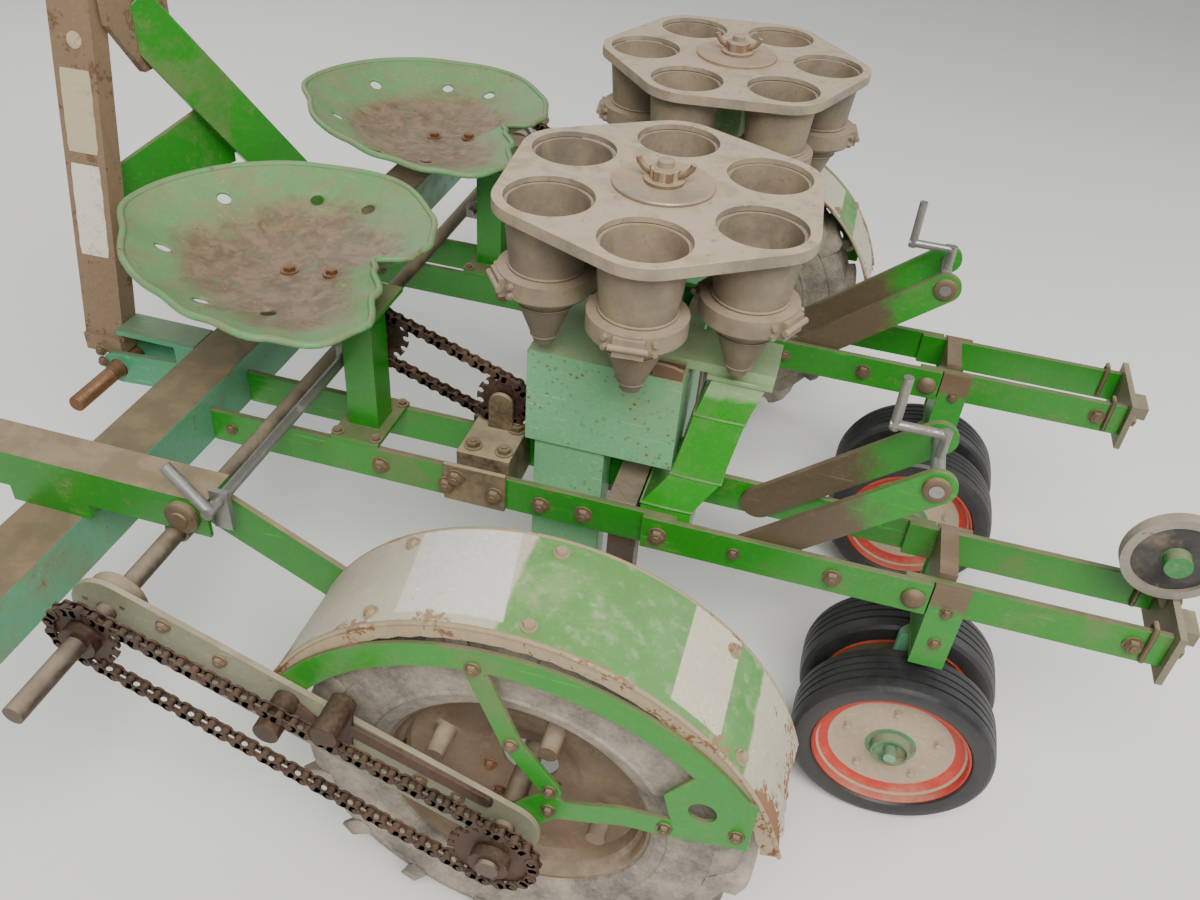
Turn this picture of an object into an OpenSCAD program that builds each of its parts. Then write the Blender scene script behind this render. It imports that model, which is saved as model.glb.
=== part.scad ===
// Two-row mounted seedling transplanter with two drive wheels, four press wheels,
// two seats and two turning carousels of six tapered cups.
// +X is the way of travel, +Y the machine's left, +Z up; the ground is z = 0.
// Places along X are written from the middle of the toolbar and moved by frame_x at the end.

/* [Toolbar] */
// Side of the square toolbar tube
bar_side = 90; // [70:1:110]
// Wall of the toolbar tube
bar_wall = 8; // [4:0.5:12]
// Length of the toolbar across the machine
bar_len = 1980; // [1900:10:2100]
// Height of the toolbar's top face above the ground
bar_top = 530; // [515:1:545]

/* [Hitch] */
// Distance between the outer faces of the two hitch brackets
hitch_spread = 470; // [440:1:520]
// Width of a hitch bracket between its outer faces
hitch_bracket_w = 60; // [50:1:80]
// Distance of the lower pins in front of the toolbar's middle
hitch_reach = 205; // [170:1:230]
// Height of the lower pins
hitch_pin_z = 450; // [430:1:470]
// Diameter of the lower pins
hitch_pin_d = 28; // [22:0.5:30]
// Free length of a lower pin outside its bracket
hitch_pin_free = 112; // [90:1:130]
// Height from the lower pins to the top link's hole
mast_h = 610; // [560:1:640]
// Diameter of the top link's hole
top_link_d = 25.7; // [20:0.1:32]
// Clear gap between the two ears of the top link
top_link_gap = 62; // [52:1:70]
// Broad face of a mast leg
mast_leg_w = 74; // [60:1:84]
// Depth of a mast leg's flanges
mast_leg_depth = 38; // [25:1:50]
// Side of the mast's square brace
brace_side = 80; // [50:1:90]

/* [Drive wheels] */
// Outer diameter of a drive wheel over its lugs
wheel_d = 640; // [600:2:660]
// Width of a drive tyre
wheel_w = 124; // [110:1:130]
// Diameter of the drive wheel's rim
wheel_rim_d = 354; // [320:2:380]
// Height of a lug above the tread
lug_h = 20; // [12:1:24]
// Number of lugs on each side of a drive tyre
lug_count = 16; // [12:1:20]
// Distance of the drive wheels' axle behind the toolbar
wheel_back = 701; // [680:1:720]
// Distance of a drive wheel's middle from the machine's middle
wheel_y = 690; // [680:1:700]
// Diameter of a drive wheel's axle
wheel_axle_d = 30; // [25:0.5:36]
// Clear height between the tyre and the fender
fender_clear = 26; // [18:1:34]
// Width of a fender
fender_w = 160; // [145:1:164]
// Thickness of the fender's sheet
fender_t = 3; // [2:0.5:5]

/* [Chain drive] */
// Distance of the shaft behind the toolbar
shaft_back = 183; // [175:1:195]
// Height of the shaft
shaft_z = 536; // [532:1:540]
// Diameter of the shaft
shaft_d = 26; // [22:0.5:30]
// Distance of a chain's middle from the machine's middle
chain_y = 825; // [822:1:835]
// Pitch of the roller chain
chain_pitch = 19.05; // [15.875:0.005:25.4]
// Teeth of the upper sprocket
upper_teeth = 14; // [12:1:17]
// Teeth of the lower sprocket
lower_teeth = 18; // [15:1:21]
// Width over a chain's plates
chain_w = 15; // [12:0.5:18]

/* [Row units] */
// Distance of a row's middle from the machine's middle
row_y = 280; // [275:1:290]
// Clear gap between the two rails of a row
rail_gap = 102; // [96:1:110]
// Thickness of a rail
rail_t = 10; // [8:0.5:12]
// Height of a rail
rail_h = 60; // [50:1:64]
// Height of the rails' top edge
rail_top = 500; // [494:1:506]
// Length from the toolbar's middle to the junction block
link_reach = 475; // [465:1:485]
// Length from the toolbar's middle to the end plate
rail_reach = 1505; // [1480:1:1530]

/* [Press wheels] */
// Diameter of a press wheel
press_d = 318; // [300:1:324]
// Width of a press wheel's tyre
press_w = 88; // [80:1:96]
// Distance of a press wheel's middle from the row's middle
press_y = 64; // [62:1:70]
// Distance of the press wheels' axle behind the toolbar
press_back = 1203; // [1190:1:1220]
// Diameter of the press wheels' axle
press_axle_d = 20; // [16:0.5:25]

/* [Carousels] */
// Distance of a carousel's axis behind the toolbar
drum_back = 711; // [705:1:717]
// Distance of a carousel's axis to the right of its row's middle
drum_off = 70; // [64:1:76]
// Height of a carousel plate's top
drum_z = 952; // [940:1:970]
// Thickness of a carousel plate
drum_t = 9; // [6:0.5:12]
// Radius of the circle on which the cups stand
cup_ring_r = 157; // [154:1:162]
// Diameter of a cup's mouth
cup_mouth_d = 118; // [108:1:122]
// Radius of the plate's corner round a cup
plate_corner_r = 74; // [70:1:80]
// Depth from the plate's top to a cup's tip
cup_depth = 219; // [205:1:224]
// Diameter of a cup's tip
cup_tip_d = 26; // [20:1:34]

/* [Seats] */
// Distance of a seat's middle behind the toolbar
seat_back = 143; // [138:1:150]
// Height of a seat pan's lowest face
seat_z = 722; // [710:1:740]
// Share of a seat pan's full outline that is used
seat_share = 0.97; // [0.9:0.01:1]
// Distance of a seat's middle to the right of its row's middle
seat_off = 33; // [26:1:40]
// Thickness of a seat's sheet
seat_t = 4; // [3:0.5:6]
// Side of the square seat post
seat_post_side = 50; // [40:1:56]

/* [Hidden] */
$fn = 48;

rust = "#6b5546";
teal = "#3f7d67";
bright = "#2c9a22";
mint = "#6fb58c";
dust = "#a89c8c";
cream = "#b9ab97";
rubber = "#33333a";
zinc = "#8a8a88";

seat_gap = 0.2;
run_gap = 0.3;
bar_front = bar_side / 2;
bar_bottom = bar_top - bar_side;
plate_t = 10;
pin_collar = 4;
mast_head_x = hitch_reach + 39;
rear_reach = rail_reach + 45;
front_reach = mast_head_x + 38;
frame_x = (rear_reach - front_reach) / 2;

wheel_r = wheel_d / 2;
carcass_r = wheel_r - lug_h;
rim_r = wheel_rim_d / 2;
axle_z = wheel_r;
fender_r = wheel_r + fender_clear;
wheel_in_y = wheel_y - wheel_w / 2;
arm_t = 8;
inner_arm_y = wheel_in_y - 22;
outer_arm_y = wheel_y + fender_w / 2 + 6;
chain_in_y = chain_y - chain_w / 2;

rail_in = rail_gap / 2;
rail_out = rail_in + rail_t;
rail_bottom = rail_top - rail_h;
rail_mid = rail_top - rail_h / 2;
// Rear face of the junction blocks, from which the working pieces are placed
work_x = link_reach + 70;

press_r = press_d / 2;
press_z = press_r;

// The whole machine is moved so that its box is centred on the origin
module place() {
  translate([frame_x, 0, 0]) children();
}

module both_sides() {
  children();
  mirror([0, 1, 0]) children();
}

// Both row units are alike, not mirrored
module rows() {
  for (side = [-1, 1]) translate([0, side * row_y, 0]) children();
}

// A block from its lowest to its highest corner
module block(low, high) {
  translate(low) cube(high - low);
}

// A cylinder along Y from y0 to y1
module bar_y(x, z, y0, y1, d) {
  translate([x, y0, z]) rotate([-90, 0, 0]) cylinder(d = d, h = y1 - y0);
}

// An outline in X and Z given thickness from y0 to y1
module plate_y(y0, y1) {
  translate([0, y1, 0]) rotate([90, 0, 0]) linear_extrude(y1 - y0) children();
}

// A flat bar with round ends between two points of the X-Z plane
module link_shape(a, b, w) {
  d = b - a;
  ang = atan2(d[1], d[0]);
  translate(a) rotate(ang) {
    translate([0, -w / 2]) square([norm(d), w]);
    circle(d = w);
    translate([norm(d), 0]) circle(d = w);
  }
}

// A square tube laid from point a to point b
module strut(a, b, side) {
  d = b - a;
  len = norm(d);
  turn = atan2(d[1], d[0]);
  tilt = acos(d[2] / len);
  translate(a) rotate([0, tilt, turn]) translate([-side / 2, -side / 2, 0]) cube([side, side, len]);
}

module toolbar() {
  color(teal) place() difference() {
    block([-bar_front, -bar_len / 2, bar_bottom], [bar_front, bar_len / 2, bar_top]);
    block([-bar_front + bar_wall, -bar_len / 2 - 1, bar_bottom + bar_wall],
          [bar_front - bar_wall, bar_len / 2 + 1, bar_top - bar_wall]);
  }
}

module lower_link_brackets() {
  out_y = hitch_spread / 2;
  in_y = out_y - hitch_bracket_w;
  color(teal) place() both_sides() difference() {
    union() {
      for (y = [in_y, out_y - plate_t]) plate_y(y, y + plate_t) difference() {
        union() {
          link_shape([bar_front + 30, hitch_pin_z + 10], [hitch_reach, hitch_pin_z], 60);
          translate([bar_front, bar_bottom]) square([40, bar_side]);
        }
        translate([hitch_reach, hitch_pin_z]) circle(d = hitch_pin_d + 4 + 2 * seat_gap);
        translate([-bar_front, 0]) square([bar_side, bar_top]);
      }
      block([bar_front, in_y, bar_top - plate_t], [hitch_reach - 12, out_y, bar_top]);
    }
  }
}

module lower_link_pins() {
  out_y = hitch_spread / 2;
  color(rust) place() both_sides() {
    bar_y(hitch_reach, hitch_pin_z, out_y + pin_collar, out_y + pin_collar + hitch_pin_free, hitch_pin_d);
    bar_y(hitch_reach, hitch_pin_z, out_y - hitch_bracket_w - 14, out_y + pin_collar, hitch_pin_d + 4);
    bar_y(hitch_reach, hitch_pin_z, out_y - hitch_bracket_w - 26, out_y - hitch_bracket_w,
          hitch_pin_d + 16);
  }
}

top_link_z = hitch_pin_z + mast_h;
mast_top = top_link_z + 40;
ear_half = 38;
head_back = mast_head_x - ear_half - 8;
foot_z = hitch_pin_z + 20;
leg_foot = [mast_head_x - 12, hitch_spread / 2 - hitch_bracket_w / 2, foot_z];
leg_head = [mast_head_x, top_link_gap / 2 + plate_t + mast_leg_depth / 2 + 6, mast_top + 30];

leg_run = leg_head - leg_foot;
leg_len = norm(leg_run);
leg_wall = 7;

// Moves its children from the origin's z axis to the leg's own line
module on_leg() {
  translate(leg_foot) rotate([-asin(leg_run[1] / leg_len), atan2(leg_run[0], leg_run[2]), 0]) children();
}

// The channel's full section, then its hollow on the side of the machine's middle
module leg_bar() {
  translate([-mast_leg_w / 2, -mast_leg_depth / 2, 0]) cube([mast_leg_w, mast_leg_depth, leg_len]);
}

module leg_hollow() {
  translate([-mast_leg_w / 2 + leg_wall, -mast_leg_depth / 2 - 1, -1])
    cube([mast_leg_w - 2 * leg_wall, mast_leg_depth - leg_wall + 1, leg_len + 2]);
}

module mast() {
  color(cream) place() {
    // Leg on the machine's left, its foot between the plates of the hitch bracket
    intersection() {
      on_leg() difference() {
        leg_bar();
        leg_hollow();
      }
      block([0, 0, bar_top - 34], [400, 400, mast_top]);
    }
    block([leg_foot[0] - mast_leg_w / 2 + 4, leg_foot[1] - 20, foot_z],
          [leg_foot[0] + mast_leg_w / 2, leg_foot[1] + 20, bar_top - 28]);
    both_sides() difference() {
      block([head_back, top_link_gap / 2, top_link_z - 60],
            [mast_head_x + ear_half, top_link_gap / 2 + plate_t, mast_top]);
      bar_y(mast_head_x, top_link_z, 0, 200, top_link_d);
    }
    // Plate across the back of the head, cut along the brace below
    translate([head_back - 8, 0, 0]) rotate([90, 0, 90]) linear_extrude(12)
      polygon([[-60, mast_top - 200], [28, mast_top - 200], [92, mast_top - 110], [92, mast_top],
        [-60, mast_top]]);
  }
}

brace_foot = [14, -280, bar_top - 40];
brace_head = [mast_head_x - 20, 14, mast_top - 96];
// Cross plate from the tube to the web of the leg's channel, seen from above
cross_from = [143, -114];
cross_to = [leg_foot[0] + 5, 142];
cross_t = 8;

module mast_brace() {
  color(bright) place() {
    // Square tube from the mast's back down to the toolbar on the machine's right
    intersection() {
      strut(brace_foot, brace_head, brace_side);
      block([-300, -700, bar_top], [head_back - 8, 200, mast_top - 4]);
    }
    difference() {
      run = norm(cross_to - cross_from) + 20;
      turn = atan2(cross_to[1] - cross_from[1], cross_to[0] - cross_from[0]);
      translate(cross_from) rotate([90, 0, turn]) linear_extrude(cross_t)
        polygon([[0, 700], [run, 700], [run, 745], [0, 834]]);
      on_leg() translate([-mast_leg_w, mast_leg_depth / 2 - leg_wall, 0])
        cube([2 * mast_leg_w, mast_leg_w, leg_len]);
    }
  }
}

arm_lift = 25;
arm_z = bar_top + arm_lift;
arm_y = wheel_y - 75;
arm_w = 60;
arm_rear = 245;
pivot_d = 24;
pivot_x = -arm_rear + 34;
pivot_z = arm_z + 30;

module wheel_arms() {
  color(bright) place() both_sides() {
    // Channel across the toolbar, open below
    difference() {
      block([-arm_rear, arm_y - arm_w / 2, arm_z], [110, arm_y + arm_w / 2, arm_z + 60]);
      block([-arm_rear - 1, arm_y - arm_w / 2 + 6, arm_z - 1],
            [111, arm_y + arm_w / 2 - 6, arm_z + 54]);
      bar_y(pivot_x, pivot_z, arm_y - arm_w, arm_y + arm_w, pivot_d + 2 * seat_gap);
    }
    // Clamp plate on the toolbar
    block([-bar_front - 15, arm_y - arm_w / 2, bar_top], [bar_front + 15, arm_y + arm_w / 2, arm_z]);
    // Pivot pin with its round head
    bar_y(pivot_x, pivot_z, arm_y - arm_w / 2 - 10, arm_y + arm_w / 2 + 2, pivot_d);
    bar_y(pivot_x, pivot_z, arm_y + arm_w / 2, arm_y + arm_w / 2 + 8, 42);
    // Plate down to the inner end of the wheel's axle
    plate_y(inner_arm_y - arm_t, inner_arm_y) difference() {
      link_shape([pivot_x, pivot_z - 4], [-wheel_back, axle_z], 66);
      translate([-wheel_back, axle_z]) circle(d = wheel_axle_d + 2 * seat_gap);
      translate([pivot_x, pivot_z]) circle(d = pivot_d + 2 * seat_gap);
    }
  }
}

module outer_arms() {
  color(dust) place() both_sides() plate_y(outer_arm_y, outer_arm_y + arm_t) difference() {
    link_shape([-shaft_back, shaft_z], [-wheel_back, axle_z], 96);
    translate([-wheel_back, axle_z]) circle(d = wheel_axle_d + 2 * seat_gap);
    translate([-shaft_back, shaft_z]) circle(d = shaft_d + 2 * run_gap);
  }
}

module wheel_axles() {
  color(rust) place() both_sides()
    bar_y(-wheel_back, axle_z, inner_arm_y - arm_t - 14, chain_y + chain_w / 2 + 14, wheel_axle_d);
}

module drive_shaft() {
  color(rust) place() bar_y(-shaft_back, shaft_z, -950, 950, shaft_d);
}

module shaft_bearings() {
  color(rust) place() both_sides() difference() {
    union() {
      bar_y(-shaft_back, shaft_z, outer_arm_y - 22, outer_arm_y, 78);
      bar_y(-shaft_back, shaft_z, arm_y - 20, arm_y + 20, 36);
    }
    bar_y(-shaft_back, shaft_z, 0, 999, shaft_d + 2 * seat_gap);
  }
}

// Sprocket outline: round valleys on the pitch circle
tooth_out = chain_pitch * 0.2;
sprocket_t = 5;

function pitch_r(teeth) = chain_pitch / 2 / sin(180 / teeth);

module sprocket_shape(teeth, bore) {
  pr = pitch_r(teeth);
  difference() {
    circle(r = pr + tooth_out);
    for (k = [0 : teeth - 1]) rotate((k + 0.5) * 360 / teeth) translate([pr, 0])
      circle(d = chain_pitch * 0.64, $fn = 10);
    circle(d = bore);
  }
}

module sprocket(x, z, teeth, bore) {
  translate([x, chain_y + sprocket_t / 2, z]) rotate([90, 0, 0]) linear_extrude(sprocket_t)
    sprocket_shape(teeth, bore);
}

// Small chain of each row: seat post to junction block
row_teeth = 13;
row_chain_y = -37.5;
row_axle_d = 20;
row_upper = [-306, 645];
row_lower = [-link_reach - 30, 572];

module sprockets() {
  color(rust) place() both_sides() {
    sprocket(-shaft_back, shaft_z, upper_teeth, shaft_d + 2 * seat_gap);
    sprocket(-wheel_back, axle_z, lower_teeth, wheel_axle_d + 2 * seat_gap);
    for (hub = [[-shaft_back, shaft_z, shaft_d], [-wheel_back, axle_z, wheel_axle_d]]) difference() {
      bar_y(hub[0], hub[1], chain_y + sprocket_t / 2, chain_y + 16, hub[2] + 22);
      bar_y(hub[0], hub[1], chain_y, chain_y + 30, hub[2] + 2 * seat_gap);
    }
  }
  color(rust) place() rows() for (c = [row_upper, row_lower])
    plate_y(row_chain_y - sprocket_t / 2, row_chain_y + sprocket_t / 2)
      translate(c) sprocket_shape(row_teeth, row_axle_d + 2 * seat_gap);
}

// Runs of the chain: from, to, between the sprockets' pitch circles
chain_a = [-shaft_back, shaft_z];
chain_b = [-wheel_back, axle_z];
chain_ra = pitch_r(upper_teeth);
chain_rb = pitch_r(lower_teeth);
chain_span = norm(chain_b - chain_a);
chain_tilt = atan2(chain_a[1] - chain_b[1], chain_a[0] - chain_b[0]);
chain_flare = asin((chain_rb - chain_ra) / chain_span);
strand_h = 11;
plate_h = 17;
wrap_steps = 8;

// Children laid along a straight run, side 1 above and -1 below
module on_run(side) {
  turn = chain_tilt - side * chain_flare;
  translate(chain_b) rotate(turn) translate([0, side * chain_rb]) children();
}

// A point of a run: distance from the lower sprocket, height out of the loop
function run_point(side, u, v) =
  let (turn = chain_tilt - side * chain_flare, w = side * (chain_rb + v))
    chain_b + [u * cos(turn) - w * sin(turn), u * sin(turn) + w * cos(turn)];
function wrap_points(centre, r, a0, a1) =
  [for (k = [1 : wrap_steps - 1]) let (a = a0 + (a1 - a0) * k / wrap_steps) centre + r * [cos(a), sin(a)]];

// Outer plates stand out of the band, one every second pitch
function run_outline(side, v, plate_v) =
  let (run = chain_span * cos(chain_flare), count = floor(run / chain_pitch / 2))
    concat([run_point(side, 0, v)],
      plate_v > v ? [for (k = [0 : count - 1]) let (u = (2 * k + 0.9) * chain_pitch, e = u + chain_pitch + 9)
        each [run_point(side, u, v), run_point(side, u, plate_v), run_point(side, e, plate_v),
              run_point(side, e, v)]] : [],
      [run_point(side, run, v)]);
function turned(list) = [for (k = [len(list) - 1 : -1 : 0]) list[k]];
function chain_loop(v, plate_v) = concat(
  run_outline(-1, v, plate_v),
  wrap_points(chain_a, chain_ra + v, chain_tilt + chain_flare - 90, chain_tilt - chain_flare + 90),
  turned(run_outline(1, v, plate_v)),
  wrap_points(chain_b, chain_rb + v, chain_tilt - chain_flare + 90, chain_tilt + chain_flare + 270));

// The teeth stand in a groove between the plates
module drive_chains() {
  groove = sprocket_t + 2 * seat_gap;
  color(rust) place() both_sides() difference() {
    plate_y(chain_in_y, chain_in_y + chain_w) difference() {
      polygon(chain_loop(strand_h / 2, plate_h / 2));
      polygon(chain_loop(-strand_h / 2, -strand_h / 2));
    }
    for (end = [[chain_a, chain_ra], [chain_b, chain_rb]])
      bar_y(end[0][0], end[0][1], chain_y - groove / 2, chain_y + groove / 2,
            2 * (end[1] + tooth_out + seat_gap), $fn = 32);
  }
  color(rust) place() rows() difference() {
    plate_y(row_chain_y - chain_w / 2, row_chain_y + chain_w / 2) difference() {
      link_shape(row_upper, row_lower, 2 * pitch_r(row_teeth) + strand_h, $fn = 14);
      link_shape(row_upper, row_lower, 2 * pitch_r(row_teeth) - strand_h, $fn = 14);
    }
    for (c = [row_upper, row_lower])
      bar_y(c[0], c[1], row_chain_y - groove / 2, row_chain_y + groove / 2,
            2 * (pitch_r(row_teeth) + tooth_out + seat_gap), $fn = 14);
  }
}

roller_d = 34;
roller_off = plate_h / 2 + roller_d / 2 + 1.5;
// Rollers along the upper run: distance from the lower sprocket, side of the strand
rollers = [[315, -1], [252, 1]];

module chain_tensioners() {
  foot = [225, -66];
  color(rust) place() both_sides() {
    plate_y(outer_arm_y + arm_t, outer_arm_y + arm_t + 6) on_run(1) {
      for (r = rollers) link_shape(foot, [r[0], r[1] * roller_off], 26);
      link_shape([258, -16], [40, -16], 20);
    }
    plate_y(outer_arm_y + arm_t, chain_y + 14) on_run(1)
      for (r = rollers) translate([r[0], r[1] * roller_off]) circle(d = roller_d);
  }
}

module arc_band(r_in, r_out, a0, a1, steps = 28) {
  polygon(concat(
    [for (k = [0 : steps]) let (a = a0 + (a1 - a0) * k / steps) [r_out * cos(a), r_out * sin(a)]],
    [for (k = [steps : -1 : 0]) let (a = a0 + (a1 - a0) * k / steps) [r_in * cos(a), r_in * sin(a)]]));
}

module fenders() {
  y0 = wheel_y - fender_w / 2;
  y1 = wheel_y + fender_w / 2;
  color(cream) place() both_sides() translate([-wheel_back, 0, axle_z]) {
    plate_y(y0, y1) arc_band(fender_r, fender_r + fender_t, 20, 165);
    plate_y(y1 - fender_t, y1) arc_band(fender_r - 24, fender_r + fender_t, 20, 165);
  }
}

// The fender's frame: strap under its edge, bent spoke, lower bar and end plate,
// with places from the wheel's axle
strap_low = 55;
strap_r = 372;
strap_w = 36;
spoke_w = 28;
spoke_path = [[42, 284], [-5, 164], [-56, 94]];
bar_path = [[-56, 54], [-100, 66], [-146, 82], [-200, 86], [-284, 102]];
end_plate = [[-205, 104], [-262, 82], [-300, 84], [-300, 176], [-222, 194], [-192, 150]];

module path_shape(path, w) {
  for (k = [0 : len(path) - 2]) link_shape(path[k], path[k + 1], w);
}

module fender_struts() {
  y1 = wheel_y + fender_w / 2;
  boss_r = wheel_axle_d / 2 + 18;
  color(bright) place() both_sides() plate_y(y1, y1 + 6) translate([-wheel_back, axle_z]) difference() {
    union() {
      translate([0, -strap_low]) arc_band(strap_r - strap_w, strap_r, 38, 143);
      path_shape(spoke_path, spoke_w);
      path_shape(bar_path, spoke_w + 6);
      polygon(end_plate);
      link_shape([0, 0], [-56, 62], 44);
      circle(r = boss_r);
    }
    circle(d = wheel_axle_d + 2 * seat_gap);
    // Torn hole in the end plate
    translate([-240, 136]) circle(d = 34, $fn = 13);
  }
}

crank_x = arm_rear + 12;
crank_z = arm_z + 56;
crank_d = 16;
post_x = 295;
post_front = post_x - seat_post_side / 2;

module wheel_cranks() {
  // Long cross rod from the arm's end to the row's seat post, with a bent handle outside
  tip_y = arm_y + arm_w / 2 + 16;
  eye_y = row_y - 12;
  color(zinc) place() both_sides() {
    bar_y(-crank_x, crank_z, eye_y - 14, tip_y, crank_d);
    translate([-crank_x, tip_y - crank_d / 2, crank_z]) rotate([0, 40, 0]) cylinder(d = crank_d, h = 80);
    difference() {
      block([-crank_x - 14, arm_y + 10, arm_z + 10], [-arm_rear, arm_y + 18, crank_z + 16]);
      bar_y(-crank_x, crank_z, 0, 999, crank_d + 2 * seat_gap);
    }
    difference() {
      block([-post_front, eye_y, crank_z - 16], [-crank_x + 14, eye_y + 8, crank_z + 16]);
      bar_y(-crank_x, crank_z, 0, 999, crank_d + 2 * seat_gap);
    }
  }
}

module seat_posts() {
  color(bright) place() rows() {
    block([-post_x - seat_post_side / 2, -seat_post_side / 2, rail_top],
          [-post_x + seat_post_side / 2, seat_post_side / 2, seat_z - 8]);
    block([-post_x - 40, -rail_out, rail_top], [-post_x + 40, rail_out, rail_top + 8]);
    block([-post_x - 40, -60, seat_z - 8], [-seat_back + 60, 60, seat_z]);
    bar_y(row_upper[0], row_upper[1], row_chain_y - 8, -seat_post_side / 2, row_axle_d);
  }
}

// The pan's rim from above: direction from its middle, reach; two lobes with a notch between them
seat_stations = [
  [0, 246], [28, 214], [50, 218], [74, 222], [97, 247], [116, 283], [130, 310], [143, 292],
  [157, 228], [174, 178], [183, 162], [190, 216], [202, 240], [223, 256], [250, 272], [284, 252],
  [309, 245], [331, 243], [360, 246]
];
// Centres of the pan's drain holes, from its middle
seat_holes = [[150, -110], [148, 60], [25, -180], [25, 160], [-62, -186], [-60, 132]];
seat_rise = 66;
seat_rings = 5;
seat_sides = 48;

function eased(f) = (1 - cos(180 * f)) / 2;
function seat_edge(a, k = 0) =
  a <= seat_stations[k + 1][0]
    ? let (from = seat_stations[k], to = seat_stations[k + 1], f = (a - from[0]) / (to[0] - from[0]))
      seat_share * (from[1] + (to[1] - from[1]) * eased(f))
    : seat_edge(a, k + 1);
function seat_dish(f, a) = seat_rise * pow(f, 2.6) * (0.9 + 0.2 * cos(a));

module seat_pan() {
  n = seat_sides;
  m = seat_rings;
  top = [for (i = [1 : m], k = [0 : n - 1]) let (a = k * 360 / n, f = i / m, r = seat_edge(a) * f)
    [r * cos(a), r * sin(a), seat_t + seat_dish(f, a)]];
  low = [for (p = top) [p[0], p[1], p[2] - seat_t]];
  pts = concat(top, low, [[0, 0, seat_t], [0, 0, 0]]);
  mid = 2 * m * n;
  under = m * n;
  rim = (m - 1) * n;
  function quad(a, b, c, d) = [[a, b, c], [a, c, d]];
  faces = concat(
    [for (k = [0 : n - 1]) [mid, (k + 1) % n, k]],
    [for (k = [0 : n - 1]) [mid + 1, under + k, under + (k + 1) % n]],
    [for (i = [0 : m - 2], k = [0 : n - 1]) let (a = i * n + k, b = i * n + (k + 1) % n)
      each concat(quad(a, b, b + n, a + n), quad(under + a, under + a + n, under + b + n, under + b))],
    [for (k = [0 : n - 1]) let (a = rim + k, b = rim + (k + 1) % n) each quad(a, b, under + b, under + a)]);
  polyhedron(pts, faces);
}

module seats() {
  color(mint) place() rows() translate([-seat_back, -seat_off, seat_z]) difference() {
    seat_pan();
    for (hole = seat_holes) translate([hole[0], hole[1], -20]) cylinder(d = 22, h = 120);
  }
}

module front_links() {
  color(bright) place() rows() for (s = [-1, 1]) scale([1, s, 1])
    block([-link_reach, rail_in, rail_bottom], [-bar_front, rail_out, rail_top]);
}

module junction_blocks() {
  color(rust) place() rows() {
    block([-work_x, -rail_in, rail_bottom], [-link_reach + 15, rail_in, rail_top + 25]);
    for (s = [-1, 1]) scale([1, s, 1])
      block([-work_x, rail_out, rail_bottom], [-link_reach + 30, rail_out + 8, rail_top + 10]);
    plate_y(row_chain_y + 8.5, row_chain_y + 16.5)
      link_shape([row_lower[0], rail_top + 25], row_lower, 40);
    bar_y(row_lower[0], row_lower[1], row_chain_y - 8, row_chain_y + 9, row_axle_d);
  }
}

module row_rails() {
  color(bright) place() rows() for (s = [-1, 1]) scale([1, s, 1]) {
    block([-work_x - 265, rail_in, rail_bottom], [-link_reach, rail_out, rail_top]);
    block([-press_back + 20, rail_out, rail_bottom], [-work_x - 215, rail_out + rail_t, rail_top]);
  }
}

module rear_rails() {
  color(bright) place() rows() for (s = [-1, 1]) scale([1, s, 1])
    block([-rail_reach, rail_in, rail_bottom], [-press_back + 60, rail_out, rail_top]);
}

dial_x = -rail_reach + 25;
dial_z = 588;
dial_d = 140;

module end_plates() {
  color(dust) place() rows() {
    block([-rail_reach - plate_t, -75, rail_bottom - 20], [-rail_reach, 75, rail_top + 12]);
    block([-rear_reach, -24, rail_mid - 12], [-rail_reach - plate_t, 24, rail_mid + 12]);
  }
  // Dished hand wheel on the left row's end plate
  color(dust) place() translate([0, row_y, 0]) {
    difference() {
      bar_y(dial_x, dial_z, -10, 8, dial_d);
      bar_y(dial_x, dial_z, 2, 9, dial_d - 26);
    }
    bar_y(dial_x, dial_z, -14, 22, 36);
    plate_y(-22, -14) link_shape([-rail_reach - 5, rail_top - 4], [dial_x, dial_z], 30);
  }
}

depth_back = press_back - 59;
depth_z = 660;
depth_pin_d = 20;
depth_rod_d = 14;

module depth_arms() {
  color(bright) place() rows() for (s = [-1, 1]) scale([1, s, 1])
    plate_y(rail_in, rail_out) difference() {
      link_shape([-depth_back + 227, rail_mid], [-depth_back, depth_z], 54);
      translate([-depth_back, depth_z]) circle(d = depth_pin_d + 2 * seat_gap);
    }
}

module depth_cranks() {
  color(zinc) place() rows() {
    bar_y(-depth_back, depth_z, -rail_out - 8, rail_out + 8, depth_pin_d);
    translate([-depth_back, 0, depth_z + 6]) cylinder(d = depth_rod_d, h = 46);
    translate([-depth_back, 0, depth_z + 45]) rotate([0, 90, 0]) cylinder(d = depth_rod_d, h = 76);
    translate([-depth_back + 69, 0, depth_z + 38]) cylinder(d = depth_rod_d, h = 84);
  }
}

bridge_z = press_d + 27;
cheek_t = 8;

module press_brackets() {
  color(mint) place() rows() {
    // Cross plate between the rails, cheeks outside them, bridge over the tyres and leg
    block([-press_back - 10, -rail_in, bridge_z], [-press_back + 16, rail_in, rail_top + 10]);
    for (s = [-1, 1]) scale([1, s, 1])
      block([-press_back - 33, rail_out, bridge_z], [-press_back + 18, rail_out + cheek_t, rail_top]);
    block([-press_back - 33, -rail_out - cheek_t, bridge_z - cheek_t],
          [-press_back + 18, rail_out + cheek_t, bridge_z]);
    plate_y(-9, 9) link_shape([-press_back, bridge_z - 30], [-press_back, press_z], 60);
    for (s = [-1, 1]) scale([1, s, 1])
      bar_y(-press_back, press_z, 9, press_y + press_w / 2 + 4, press_axle_d);
  }
}

sheet_t = 3;
box_right = -170;
box_left = 12;
box_floor = 548;
box_top = 707;
opener_top = 245;

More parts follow.
